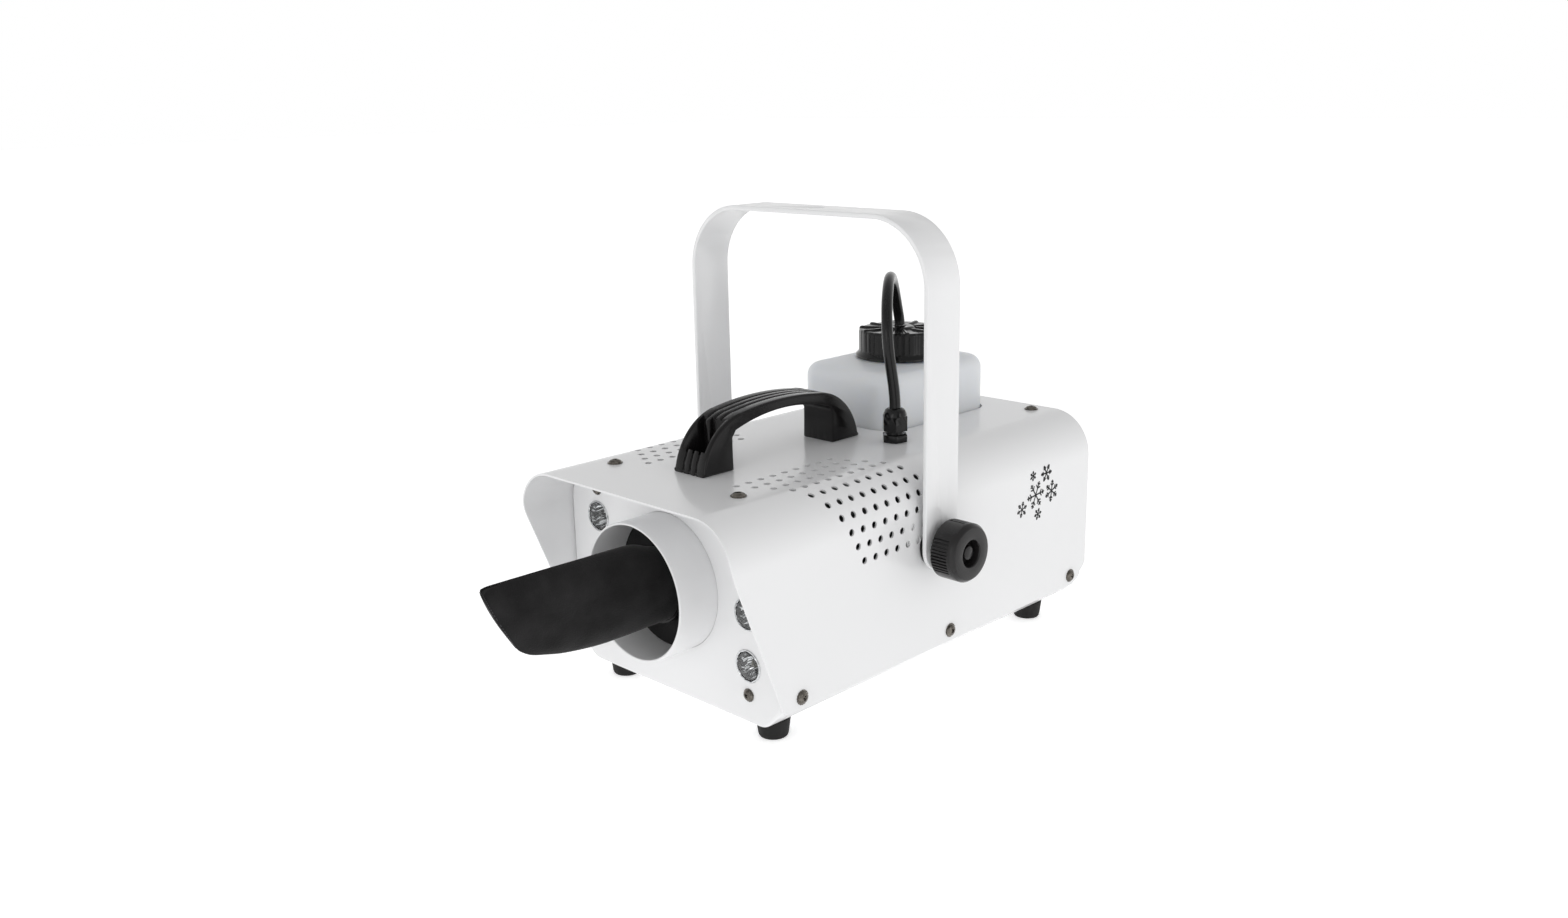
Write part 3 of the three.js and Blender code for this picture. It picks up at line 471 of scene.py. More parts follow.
def corner_arcs(xs, ys, radius):
    """The four corner arcs of a rounded rectangle, in order round it."""
    (x0, x1), (y0, y1) = xs, ys
    centres = (
        (x1 - radius, y0 + radius), (x1 - radius, y1 - radius),
        (x0 + radius, y1 - radius), (x0 + radius, y0 + radius),
    )
    return [arc_points(centre, radius, 90 * k - 90, 90 * k, 10) for k, centre in enumerate(centres)]


def between(a, b, c, d, t):
    """Where a smooth curve through four values is, a share t of the way from b to c."""
    return 0.5 * (
        2 * b + (c - a) * t + (2 * a - 5 * b + 4 * c - d) * t * t + (3 * b - a - 3 * c + d) * t * t * t
    )


def smooth_path(points, steps):
    """A curve through the points, with even steps between neighbours."""
    padded = [points[0] * 2 - points[1], *points, points[-1] * 2 - points[-2]]
    path = [
        between(*four, k / steps)
        for four in zip(padded, padded[1:], padded[2:], padded[3:])
        for k in range(steps)
    ]
    return [*path, points[-1]]


def tube(path, radius, sides):
    """Points and faces of a closed tube along a path, with its section carried along without twist."""
    points = []
    side = None
    for i, place in enumerate(path):
        ahead = path[min(i + 1, len(path) - 1)] - path[max(i - 1, 0)]
        ahead.normalize()
        if side is None:
            side = ahead.orthogonal().normalized()
        side = (side - ahead * side.dot(ahead)).normalized()
        other = ahead.cross(side)
        for k in range(sides):
            angle = 2 * math.pi * k / sides
            points.append(place + (side * math.cos(angle) + other * math.sin(angle)) * radius)
    return points, ring_faces(len(path), sides) + end_caps(len(path), sides)


# ---- the hose

# Each point is (place on the line from the gland to the cap, height, sideways bow to the left).
HOSE_ROUTE = (
    (0, 151.8, 0), (0, 158, 0.2), (0, 166, 1), (0, 176, 2.4), (0.3, 187, 3.9), (1.7, 198, 4.8),
    (5.9, 207.5, 5.3), (12.8, 215.6, 5.5), (21.9, 221.8, 5.4), (32.5, 225.7, 5.2), (43.8, 227, 4.9),
    (55.1, 225.7, 4.5), (65.7, 221.8, 4), (74.8, 215.6, 3.3), (81.7, 207.5, 2.3), (86.1, 198.6, 1.1),
    (87.4, 193.6, 0.4), (87.6, 189.4, 0),
)


def add_hose():
    start, end = Vector((*GLAND, 0)), Vector((*NECK, 0))
    along = (end - start).normalized()
    left = Vector((-along.y, along.x, 0))
    points = [
        start + along * reach + left * bow + Vector((0, 0, height)) for reach, height, bow in HOSE_ROUTE
    ]
    path = smooth_path(points, 6)
    hose = add_piece("fluid_hose_bent", *tube(path, TUBE_RADIUS, 24), HOSE_RUBBER, None, ("fluid_hose",))
    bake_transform(hose, "base", "bottle", start=at(*GLAND, 150), end=at(*NECK, 150))


add_hose()

# ---- cover

FLAT_HALF = CASE_SIDE - COVER_RADIUS
BEND_LENGTH = COVER_RADIUS * math.pi / 2
COVER_EDGE = FLAT_HALF + BEND_LENGTH + (CASE_TOP - COVER_RADIUS - COVER_FOOT)
BEND_STEPS = 18

VENT_ROWS = 10
VENT_HOLES = 9
VENT_RADIUS = 2.15
VENT_FIRST = 38.3
VENT_PITCH = 9.55
VENT_START = 19.4
VENT_SKEW = 5.25
VENT_STEP = 9.6
PIVOT_HOLE = 4.6
GLAND_HOLE = 6.2
BOTTLE_GAP = 1.2
BOTTLE_HOLE_CORNER = 19.2


def on_cover(unrolled, depth):
    """x, z and outward normal on the bent cover, from the distance along the unrolled sheet from its middle
    and the depth below its outer face."""
    side = math.copysign(1.0, unrolled)
    run = abs(unrolled)
    if run <= FLAT_HALF:
        x, z, normal = run, CASE_TOP - depth, (0.0, 1.0)
    elif run <= FLAT_HALF + BEND_LENGTH:
        angle = (run - FLAT_HALF) / COVER_RADIUS
        normal = (math.sin(angle), math.cos(angle))
        x = FLAT_HALF + (COVER_RADIUS - depth) * normal[0]
        z = CASE_TOP - COVER_RADIUS + (COVER_RADIUS - depth) * normal[1]
    else:
        x, normal = CASE_SIDE - depth, (1.0, 0.0)
        z = CASE_TOP - COVER_RADIUS - (run - FLAT_HALF - BEND_LENGTH)
    return side * x, z, Vector((side * normal[0], 0.0, normal[1]))


def unrolled_height(z):
    """Distance along the unrolled sheet of a height on the side or the lower bend."""
    if z <= CASE_TOP - COVER_RADIUS:
        return FLAT_HALF + BEND_LENGTH + (CASE_TOP - COVER_RADIUS - z)
    return FLAT_HALF + COVER_RADIUS * math.acos((z - CASE_TOP + COVER_RADIUS) / COVER_RADIUS)


def rounded_corners(points, radii):
    """Replaces each corner of a closed outline by an arc-like curve that starts radius away from it."""
    outline = []
    for i, (corner, radius) in enumerate(zip(points, radii)):
        before, after = Vector(points[i - 1]), Vector(points[(i + 1) % len(points)])
        corner = Vector(corner)
        if radius == 0:
            outline.append(tuple(corner))
            continue
        start = corner + (before - corner).normalized() * radius
        end = corner + (after - corner).normalized() * radius
        for k in range(9):
            t = k / 8
            outline.append(tuple(start * (1 - t) ** 2 + corner * 2 * t * (1 - t) + end * t * t))
    return outline


def cover_outline():
    """The unrolled sheet: its sides rake forward to the hood, and its lower rear corners are cut off."""
    corner_height, corner_start = COVER_REAR_CORNER
    right = [
        (unrolled_height(HOOD_CORNER_HEIGHT), HOOD_FRONT), (COVER_EDGE, COVER_FRONT),
        (COVER_EDGE, corner_start), (unrolled_height(corner_height), CASE_LENGTH),
    ]
    left = [(-s, y) for s, y in reversed(right)]
    radii = [8, 3, 2, 2]
    return rounded_corners(right + left, radii + radii[::-1])


def round_hole(u, v, radius, sides):
    angles = [2 * math.pi * k / sides for k in range(sides)]
    return [(u + radius * math.cos(a), v + radius * math.sin(a)) for a in angles]


def cover_holes():
    holes = []
    for side in (-1, 1):
        for row in range(VENT_ROWS):
            for hole in range(VENT_HOLES):
                y = VENT_START + VENT_SKEW * row + VENT_STEP * hole
                holes.append(round_hole(side * (VENT_FIRST + VENT_PITCH * row), y, VENT_RADIUS, 14))
        holes.append(round_hole(side * unrolled_height(PIVOT[1]), PIVOT[0], PIVOT_HOLE, 20))
    holes.append(round_hole(*GLAND, GLAND_HOLE, 20))
    low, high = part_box("fluid_bottle")
    xs = (low.x / MM - BOTTLE_GAP, high.x / MM + BOTTLE_GAP)
    ys = ((low.y - PANEL_FACE) / MM - BOTTLE_GAP, (high.y - PANEL_FACE) / MM + BOTTLE_GAP)
    holes.append([point for arc in corner_arcs(xs, ys, BOTTLE_HOLE_CORNER) for point in arc])
    return holes


def flat_sheet(outline, holes, folds):
    """A filled flat mesh of an outline with holes, cut along the fold lines."""
    sheet = bmesh.new()
    for loop in [outline, *holes]:
        verts = [sheet.verts.new((x, y, 0)) for x, y in loop]
        for a, b in zip(verts, verts[1:] + verts[:1]):
            sheet.edges.new((a, b))
    bmesh.ops.triangle_fill(sheet, use_beauty=True, use_dissolve=False, edges=sheet.edges[:])
    for place in folds:
        bmesh.ops.bisect_plane(
            sheet, geom=sheet.verts[:] + sheet.edges[:] + sheet.faces[:], dist=1e-4,
            plane_co=(place, 0, 0), plane_no=(1, 0, 0),
        )
    bmesh.ops.recalc_face_normals(sheet, faces=sheet.faces)
    if sheet.faces[:][0].normal.z < 0:
        bmesh.ops.reverse_faces(sheet, faces=sheet.faces)
    return sheet


def bent_cover(name, sheet):
    """The cover's mesh: both faces and the rims of the flat sheet, bent to the arch."""
    sheet.verts.index_update()
    count = len(sheet.verts)
    places, normals = [], []
    for depth in (0.0, COVER_SHEET):
        for vert in sheet.verts:
            x, z, normal = on_cover(vert.co.x, depth)
            places.append(at(x, vert.co.y, z))
            normals.append(normal)
    faces, kinds = [], []
    for face in sheet.faces:
        loop = [v.index for v in face.verts]
        faces += [loop, [i + count for i in reversed(loop)]]
        kinds += ["outer", "inner"]
    for edge in sheet.edges:
        if len(edge.link_faces) != 1:
            continue
        a, b = edge.verts
        loop = edge.link_faces[0].verts[:]
        if loop[(loop.index(a) + 1) % len(loop)] != b:
            a, b = b, a
        faces.append([b.index, a.index, a.index + count, b.index + count])
        kinds.append("rim")
    sheet.free()
    mesh = new_mesh(name, places, faces)
    split = []
    for polygon, kind in zip(mesh.polygons, kinds):
        polygon.use_smooth = True
        for index in polygon.vertices:
            if kind == "rim":
                split.append(polygon.normal.copy())
            else:
                split.append(normals[index] if kind == "outer" else -normals[index])
    mesh.normals_split_custom_set(split)
    return mesh


def add_cover():
    bends = [FLAT_HALF + BEND_LENGTH * k / BEND_STEPS for k in range(BEND_STEPS + 1)]
    sheet = flat_sheet(cover_outline(), cover_holes(), [-b for b in bends] + bends)
    mesh = bent_cover("cover_bent", sheet)
    place_mesh(mesh.name, mesh, WHITE_PAINT, "base", ("top_cover",), smooth=None)


add_cover()

# ---- chassis

BEVEL_FOOT = 76.35
BEVEL_HEIGHT = 15.0
FLANGE_TOP = 32.0
FOLD_RADIUS = 2.2
OUTLET_HOLE = 41.2
LAMP_HOLE = 9.5
LAMP_SCREW_HOLE = 2.0
BUTTON_HOLE = 6.3
FRONT_LIP = 12.0
REAR_LIP = 17.0
LIP_OVERLAP = 1.0
EAR_OUTLINE = ((106, 28), (150, 28), (150, 98), (106, 98))


def chassis_section(inset):
    """The chassis outline drawn in by inset: from the right flange round the bottom to the left flange, and
    the arch back over the top; the lower corners are short curves."""
    side = CHASSIS_SIDE - inset
    radius = CHASSIS_RADIUS - inset
    top = CHASSIS_TOP - inset
    corner = 0.41 * inset
    lower = [
        (side, FLANGE_TOP), (side, BEVEL_HEIGHT + corner), (BEVEL_FOOT - corner, inset),
        (corner - BEVEL_FOOT, inset), (-side, BEVEL_HEIGHT + corner), (-side, FLANGE_TOP),
    ]
    bend = 5 - 0.4 * inset
    arch = arc_points((radius - side, top - radius), radius, 180, 90, 14)
    arch += arc_points((side - radius, top - radius), radius, 90, 0, 14)
    return rounded_corners(lower, [0, bend, bend, bend, bend, 0]), arch


def add_chassis():
    steps = 5
    rings = []
    for k in range(steps + 1):
        angle = math.pi / 2 * k / steps
        inset = FOLD_RADIUS * (1 - math.sin(angle))
        rings.append((FOLD_RADIUS * (1 - math.cos(angle)), *chassis_section(inset)))
    add_end_panel("chassis_front", rings, 0.0, 1.0, FRONT_LIP, front_holes())
    add_end_panel("chassis_rear", rings, CHASSIS_REAR, -1.0, REAR_LIP, rear_holes())
    add_tray(rings[-1][1])
    add_ears()


def add_end_panel(name, rings, face_y, inward, lip, holes):
    """A flanged panel: its face with holes, a rounded fold all round, a lip and a thickness at each hole."""
    outline = rings[0][1] + rings[0][2]
    count = len(outline)
    flat = flat_sheet(outline, holes, [])
    flat.verts.index_update()
    points = [(v.co.x, face_y, v.co.y) for v in flat.verts]
    faces = [[v.index for v in f.verts] for f in flat.faces]
    rim = [(edge.verts[0].index, edge.verts[1].index) for edge in flat.edges if len(edge.link_faces) == 1]
    hole_rim = [pair for pair in rim if min(pair) >= count]
    flat.free()
    previous = list(range(count))
    for depth, lower, arch in [*rings[1:], (lip, rings[-1][1], rings[-1][2])]:
        current = [len(points) + k for k in range(count)]
        points += [(x, face_y + inward * depth, z) for x, z in lower + arch]
        for k in range(count):
            n = (k + 1) % count
            faces.append([previous[k], previous[n], current[n], current[k]])
        previous = current
    lookup = {}
    for a, b in hole_rim:
        for index in (a, b):
            if index not in lookup:
                lookup[index] = len(points)
                x, _, z = points[index]
                points.append((x, face_y + inward * CHASSIS_SHEET, z))
        faces.append([a, b, lookup[b], lookup[a]])
    add_piece(name, points, faces, WHITE_PAINT, "base", ("chassis",), "white_paint", smooth=50.0)


def front_holes():
    holes = [round_hole(0.0, OUTLET_HEIGHT, OUTLET_HOLE, 72)]
    for side in (-1, 1):
        holes += [round_hole(side * LAMP_COLUMN, z, LAMP_HOLE, 36) for z in LAMP_HEIGHTS]
        holes += [round_hole(side * LAMP_COLUMN, z, LAMP_SCREW_HOLE, 16) for z in LAMP_SCREW_HEIGHTS]
    return holes


def rear_holes():
    holes = []
    for node, half_width, half_height in (("power_inlet", 14.0, 10.5), ("switch_housing", 6.8, 9.8)):
        x, _, z = middle(node)
        holes.append([
            (x - half_width, z - half_height), (x + half_width, z - half_height),
            (x + half_width, z + half_height), (x - half_width, z + half_height),
        ])
    x, _, z = middle("button_housing")
    holes.append(round_hole(x, z, BUTTON_HOLE, 24))
    return holes


def add_tray(section):
    """The bottom and the low side flanges, with the sheet's thickness."""
    ends = (FRONT_LIP - LIP_OVERLAP, CHASSIS_REAR - REAR_LIP + LIP_OVERLAP)
    points = [(x, y, z) for y in ends for x, z in section]
    faces = ring_faces(2, len(section), closed_columns=False)
    tray = add_piece("chassis_tray", points, faces, WHITE_PAINT, "base", (), "white_paint")
    bake(tray, "SOLIDIFY", thickness=CHASSIS_SHEET * MM, offset=-1.0)


def add_ears():
    """The two uprights that carry the pivot studs."""
    outline = rounded_corners(EAR_OUTLINE, [0, 0, 8, 8])
    n = len(outline)
    faces = [list(range(n)), list(range(n, 2 * n)), *ring_faces(2, n)]
    for name, side in SIDES:
        outer = side * (CHASSIS_SIDE - 0.05)
        inner = side * (CHASSIS_SIDE - CHASSIS_SHEET)
        points = [(x, y, z) for x in (outer, inner) for y, z in outline]
        add_piece(f"pivot_upright_{name}", points, faces, WHITE_PAINT, "base", (), "white_paint")


add_chassis()

# ---- outlet and sock

OUTLET_MIDDLE = (0, 0, OUTLET_HEIGHT)


def add_collar():
    """The sleeve round the outlet, with a rounded front lip and a flange behind the panel."""
    lip = arc_points((40.25, -27.25), 0.75, 0, -180, 8)
    profile = [*lip, (39.5, -10.0), (39.5, 3.3), (47.0, 3.3), (47.0, 1.8), (41.0, 1.8), (41.0, -10.0)]
    body = turned(profile, "y", OUTLET_MIDDLE, 120)
    add_piece("collar_round", *body, WHITE_PAINT, "base", ("nozzle_collar",), "white_paint")


# Where the sock's upper and lower edges and its half thickness are, from its base to its sewn toe.
SOCK_STATIONS = (
    ((-2.2, 91.0), (-2.2, 49.0), 20.7), ((-13.5, 94.0), (-13.5, 48.7), 20.4),
    ((-26, 98.2), (-24, 47.5), 16.2), ((-42, 99.3), (-38, 46.5), 12.0), ((-62, 99.6), (-56, 46.6), 9.2),
    ((-84, 100.0), (-77, 49.0), 7.2), ((-104, 100.2), (-91, 52.2), 5.0), ((-117, 100.3), (-98.5, 54.4), 3.0),
    ((-123.8, 100.2), (-103.3, 57.0), 1.9), ((-126.6, 99.4), (-106.6, 59.6), 1.4),
    ((-127.3, 97.4), (-108.4, 62.4), 1.1),
)
TOE_BOW = 1.2
FELT_THICKNESS = 1.4
SEAM_MARGIN = 0.055
STITCH_ENDS = 64
STITCH_RADIUS = 0.22
STITCH_LIFT = (0.05, 0.3, 0.38, 0.3, 0.05)


def sock_surface(u, angle):
    """A point of the sock's outside: u runs from 0 at the base to 1 at the toe."""
    place = u * (len(SOCK_STATIONS) - 1)
    i = min(int(place), len(SOCK_STATIONS) - 2)
    t = place - i
    near = [SOCK_STATIONS[min(max(k, 0), len(SOCK_STATIONS) - 1)] for k in (i - 1, i, i + 1, i + 2)]
    columns = zip(*((*upper, *lower, half) for upper, lower, half in near))
    values = [between(*column, t) for column in columns]
    upper, lower, half = Vector((0, *values[:2])), Vector((0, *values[2:4])), values[4]
    centre = (upper + lower) / 2
    rise = (upper - lower) / 2
    flatness = min(max((u - 0.15) / 0.6, 0.0), 1.0)
    power = 1.0 - 0.28 * flatness
    sine = math.sin(angle)
    across = math.copysign(abs(sine) ** (1.0 + 0.5 * flatness), sine) if sine else 0.0
    cosine = math.cos(angle)
    up = math.copysign(abs(cosine) ** power, cosine) if cosine else 0.0
    point = centre + rise * up + Vector((half * across, 0, 0))
    bow = TOE_BOW * (1 - up * up) * min(max(u - 0.7, 0.0) / 0.3, 1.0)
    point += Vector((0, -0.88, -0.48)) * bow
    soft = min(u * 4, 1.0) * (1 - abs(cosine) ** 3)
    seed = Vector((point.y * 0.028, point.z * 0.035, 3.0 if point.x > 0 else 9.0))
    ripple = noise.noise(seed) * 2.2 + noise.noise(seed * 2.7) * 0.7
    point.x += math.copysign(1.0, sine) * ripple * soft * min(half / 6.0, 1.0)
    return point


def add_sock():
    """The felt sleeve, sewn flat at its toe."""
    rows, columns = 110, 96
    half = columns // 2
    angles = [2 * math.pi * k / columns for k in range(columns)]
    rings = [[sock_surface(i / (rows - 1), angle) for angle in angles] for i in range(rows)]
    points = [point for ring in rings for point in ring]
    faces = ring_faces(rows, columns)
    toe, end = (rows - 1) * columns, rows * columns
    faces += [(toe + k, toe + k + 1, end - k - 1, end - k) for k in range(1, half - 1)]
    faces += [(toe, toe + 1, end - 1), (toe + half - 1, toe + half, toe + half + 1)]
    sock = add_piece("sock_felt", points, faces, FELT, "base", ("snow_sock",), "black_felt", smooth=80.0)
    bake(sock, "SOLIDIFY", thickness=FELT_THICKNESS * MM, offset=-1.0, use_even_offset=False)


def add_duct():
    """The spigot, and the felt ring round it that closes the collar."""
    refined("outlet_duct", BLACK_PLASTIC, 0.35, 2)
    profile = [(20.9, -1.75), (39.0, -1.75), (39.1, -2.3), (38.6, -2.9), (24.0, -3.1), (21.0, -3.3)]
    add_piece("sock_flange", *turned(profile, "y", OUTLET_MIDDLE, 72), FELT, "base", (), "black_felt")


def add_seam_stitches():
    """A running stitch across the sock's toe, on both sides."""
    angles = [math.pi * (0.06 + 0.88 * (k / (STITCH_ENDS - 1))) for k in range(STITCH_ENDS)]
    points, faces = [], []
    for side in (1, -1):
        for pair in zip(angles[::2], angles[1::2]):
            start, end = (sock_surface(1 - SEAM_MARGIN, side * angle) for angle in pair)
            path = [start.lerp(end, k / 4) + Vector((side * STITCH_LIFT[k], 0, 0)) for k in range(5)]
            more, more_faces = tube(path, STITCH_RADIUS, 6)
            faces += [tuple(i + len(points) for i in f) for f in more_faces]
            points += more
    thread = surface("black_thread", (0.03, 0.03, 0.032), 0.6, grain_scale=4000.0)
    add_piece("sock_stitches", points, faces, thread, "base", (), "black_felt")


add_collar()
add_sock()
add_duct()
add_seam_stitches()

# ---- lamps

REFLECTOR_FACETS = 22
FACET_LEAN = 0.9
# Facets whose noise is above this get the painted dark reflection.
SHADED_ABOVE = -0.16


def add_lamp(node, x, z):
    """A chrome cup of small facets, each leaning its own way, with a rim, an emitter and a domed lens;
    facets picked by noise get a painted dark reflection.
    """
    rings = [
        (LAMP_RADIUS, 9.0), (LAMP_RADIUS, -0.4), (9.4, -0.75), (8.9, -0.75), (8.6, -0.3), (7.4, 1.5),
        (6.0, 3.0), (4.6, 4.4), (3.3, 5.6), (2.2, 6.3), (0.0, 6.3),
    ]
    faceted = range(4, 9)
    columns = REFLECTOR_FACETS * 2
    points = []
    for i, (radius, along) in enumerate(rings):
        for k in range(columns):
            angle = 2 * math.pi * (k + 0.5 * (i % 2)) / columns
            seed = Vector((k * 1.7 + z, i * 2.3, x * 0.1))
            lean = noise.noise(seed) * FACET_LEAN if i in faceted else 0.0
            points.append(at(x + radius * math.sin(angle), along + lean, z + radius * math.cos(angle)))
    faces, shaded = [], []
    for i in range(len(rings) - 1):
        for k in range(columns):
            a, b = i * columns + k, i * columns + (k + 1) % columns
            c, d = (i + 1) * columns + (k + 1) % columns, (i + 1) * columns + k
            faces += [(a, b, d), (b, c, d)] if i % 2 else [(a, b, c), (a, c, d)]
            # Noise picks the facets that get the painted dark reflection.
            for half in (0, 1):
                seed = Vector((k * 1.31 + half * 0.7, i * 1.9 + x, z * 0.37))
                shaded.append(i in faceted and noise.noise(seed) > SHADED_ABOVE)
    faces.append(tuple(range(columns)))
    shaded.append(False)
    mesh = new_mesh(f"{node}_reflector", points, faces)
    place_mesh(mesh.name, mesh, CHROME, "base", (node,), smooth=12.0)
    mesh.materials.append(PAINTED_REFLECTION_CHROME)
    for polygon, dark in zip(mesh.polygons, shaded):
        polygon.material_index = 1 if dark else 0
        polygon.use_smooth = False
    profile = [(0.0, 5.9), (1.9, 5.8), (2.5, 5.0), (2.2, 4.0), (1.3, 3.4), (0.0, 3.2)]
    add_piece(f"{node}_emitter", *turned(profile, "y", (x, 0, z), 20), EMITTER, "base", (), "lamp_reflector")
    dome = [(0.0, 0.7), (8.3, 0.5), (8.5, 0.1), (8.2, -0.4), (6.0, -0.9), (3.0, -1.2), (0.0, -1.3)]
    add_piece(f"{node}_lens", *turned(dome, "y", (x, 0, z), 36), LENS, "base", (), "lamp_reflector")


for side_name, side in SIDES:
    for number, height in enumerate(LAMP_HEIGHTS, 1):
        add_lamp(f"led_lamp_{side_name}_{number}", side * LAMP_COLUMN, height)

# ---- screws

WASHER_THICKNESS = 0.55
CROWN_EDGE = 0.25
CROWN_RISE = 1.65
SEAT_GAP = 0.05
HANDLE_SCREW_SEAT = 133.6


def screw_mesh(name, head_radius, shank_radius, length, washer):
    """A domed cross-recess screw along +z with its seat at 0, in millimetres; a washer has a toothed rim."""
    base = WASHER_THICKNESS if washer else 0.0
    profile = [(0.0, -length), (shank_radius, -length), (shank_radius, 0.0)]
    if washer:
        profile += [(head_radius, 0.0), (head_radius, base), (head_radius * 0.86, base)]
    crown = head_radius * (0.82 if washer else 1.0)
    for degrees in (0, 15, 30, 45, 60, 75):
        angle = math.radians(degrees)
        profile.append((crown * math.cos(angle), base + CROWN_EDGE + CROWN_RISE * math.sin(angle)))
    profile.append((0.0, base + CROWN_EDGE + CROWN_RISE))

    def serrated(angle, radius, along):
        if washer and radius >= head_radius - 0.01:
            radius -= 0.35 * (0.5 + 0.5 * math.cos(16 * angle))
        return radius, along

    body = new_mesh(name, *turned(profile, "z", (0, 0, 0), 32, serrated))
    weld(body, 1e-4)
    holder = new_object(name, body)
    cross = cross_mesh(head_radius * 0.46, head_radius * 0.13, base + 2.6, base + 0.55)
    carve(holder, [cross], crossing=True)
    finished = holder.data
    bpy.data.objects.remove(holder)
    return finished


def cross_mesh(arm, width, top, floor):
    """A cutter for a cross recess: two tapered blocks across each other."""
    work = bmesh.new()
    for angle in (0.0, math.pi / 2):
        turn = Matrix.Rotation(angle, 4, "Z")
        corners = [(-arm, -width, top), (arm, -width, top), (arm, width, top), (-arm, width, top)]
        corners += [(x * 0.35, y * 0.8, floor) for x, y, _ in corners]
        verts = [work.verts.new(turn @ Vector(c)) for c in corners]
        for loop in ((0, 1, 2, 3), (7, 6, 5, 4), (0, 4, 5, 1), (1, 5, 6, 2), (2, 6, 7, 3), (3, 7, 4, 0)):
            work.faces.new([verts[i] for i in loop])
    bmesh.ops.recalc_face_normals(work, faces=work.faces)
    mesh = bpy.data.meshes.new("cutter")
    work.to_mesh(mesh)
    work.free()
    return mesh


def add_screw(node, mesh, seat, facing, spin):
    """One screw on its seat, its head towards facing, turned by its own angle."""
    copy = mesh.copy()
    turn = Vector(facing).to_track_quat("Z", "Y").to_matrix().to_4x4()
    place = Matrix.Translation(at(*seat)) @ turn @ Matrix.Rotation(spin, 4, "Z") @ Matrix.Scale(MM, 4)
    copy.transform(place)
    place_mesh(f"{node}_head", copy, SCREW_METAL, "base", (node,), smooth=40.0)


def add_screws():
    side_screw = screw_mesh("side_screw", 4.5, 1.9, 4.5, True)
    top_screw = screw_mesh("top_screw", 4.7, 1.9, 5.0, True)
    lamp_screw = screw_mesh("lamp_screw", 4.0, 1.6, 13.0, True)
    handle_screw = screw_mesh("handle_screw", 3.8, 1.9, 8.0, False)
    for side_name, side in SIDES:
        for number in (1, 2, 3):
            node = f"side_screw_{side_name}_{number}"
            _, y, z = middle(node)
            seat = (side * (CASE_SIDE + SEAT_GAP), y, z)
            add_screw(node, side_screw, seat, (side, 0, 0), 0.4 + 0.9 * number)
        for number in (1, 2):
            node = f"top_screw_{side_name}_{number}"
            x, y, _ = middle(node)
            add_screw(node, top_screw, (x, y, CASE_TOP + SEAT_GAP), (0, 0, 1), 0.7 * number + side)
            node = f"lamp_screw_{side_name}_{number}"
            x, _, z = middle(node)
            add_screw(node, lamp_screw, (x, -SEAT_GAP, z), (0, -1, 0), 0.5 * number + 0.3 * side)
    for number in (1, 2):
        node = f"handle_screw_{number}"
        x, y, _ = middle(node)
        add_screw(node, handle_screw, (x, y, HANDLE_SCREW_SEAT), (0, 0, 1), 0.8 * number)


add_screws()

# ---- carry handle

HANDLE_MIDDLE = 84.5
HANDLE_BASE = 130.05
GRIP_GROOVES = (-5.4, 0.0, 5.4)
END_ARC_CENTRE = (28.6, -4.6)
END_ARC_RADIUS = 38.4
GROOVE_SECTION = ((-1.3, 0.0), (-1.0, 0.12), (-0.7, 0.9), (0.7, 0.9), (1.0, 0.12), (1.3, 0.0))


def handle_side_view():
    """The handle's outline from the side, as (y, z, on the outside), from the rear foot over the grip."""
    end_y, end_z = END_ARC_CENTRE
    outside = arc_points((end_y, end_z), END_ARC_RADIUS, 6.88, 80.62, 16)
    outside += arc_points((0, -177.8), 213.7, 80.62, 99.38, 22)[1:]
    outside += arc_points((-end_y, end_z), END_ARC_RADIUS, 99.38, 173.12, 16)[1:]
    under = [(-43, 0), (-43, 12), (-43, 19.5)]
    under += arc_points((0, -99), 128.8, 108.2, 71.8, 22)
    under += [(43, 19.5), (43, 12), (43, 0)]
    return [(y, z, 1.0) for y, z in outside] + [(y, z, 0.0) for y, z in under]


def add_handle():
    outline = handle_side_view()
    count = len(outline)
    normals = []
    for i in range(count):
        before, after = outline[i - 1], outline[(i + 1) % count]
        run = Vector((after[0] - before[0], after[1] - before[1])).normalized()
        normals.append((run.y, -run.x))
    edge = [(-13.0, 1.7), (-12.87, 0.95), (-12.5, 0.42), (-11.95, 0.1), (-11.3, 0.0)]
    stations = [(x, inset, 0.0) for x, inset in edge]
    for centre in GRIP_GROOVES:
        stations += [(centre + x, 0.0, depth) for x, depth in GROOVE_SECTION]
    stations += [(-x, inset, 0.0) for x, inset in reversed(edge)]
    points = []
    for x, inset, groove in stations:
        for (y, z, outside), (ny, nz) in zip(outline, normals):
            depth = inset * (1.0 if outside else 0.5) + groove * outside
            low = max(z - nz * depth, 0.0)
            points.append((x, HANDLE_MIDDLE + y - ny * depth, HANDLE_BASE + low))
    faces = ring_faces(len(stations), count)
    faces += end_caps(len(stations), count)
    handle = add_piece(
        "grip_moulded", points, faces, BLACK_PLASTIC, "base", ("carry_handle",), "black_plastic",
    )
    carve(handle, grip_windows(-1) + grip_windows(1))
    soften(handle, 0.35, 2, angle=40.0)


def grip_windows(end):
    """Cutters for the window in one end of the grip, which leave an upright rib on its inner wall."""
    near, inner, rib = (HANDLE_MIDDLE + end * reach for reach in (62.3, 45.0, 48.2))
    heights = (HANDLE_BASE + 3.3, HANDLE_BASE + 60)
    parts = (((-9.6, -4.4), inner), ((-1.6, 9.6), inner), ((-4.5, -1.5), rib))
    blocks = []
    for (x0, x1), wall in parts:
        xs = (x0, x1) if end < 0 else (-x1, -x0)
        blocks.append(block_mesh(xs, sorted((near, wall)), heights))
    return blocks


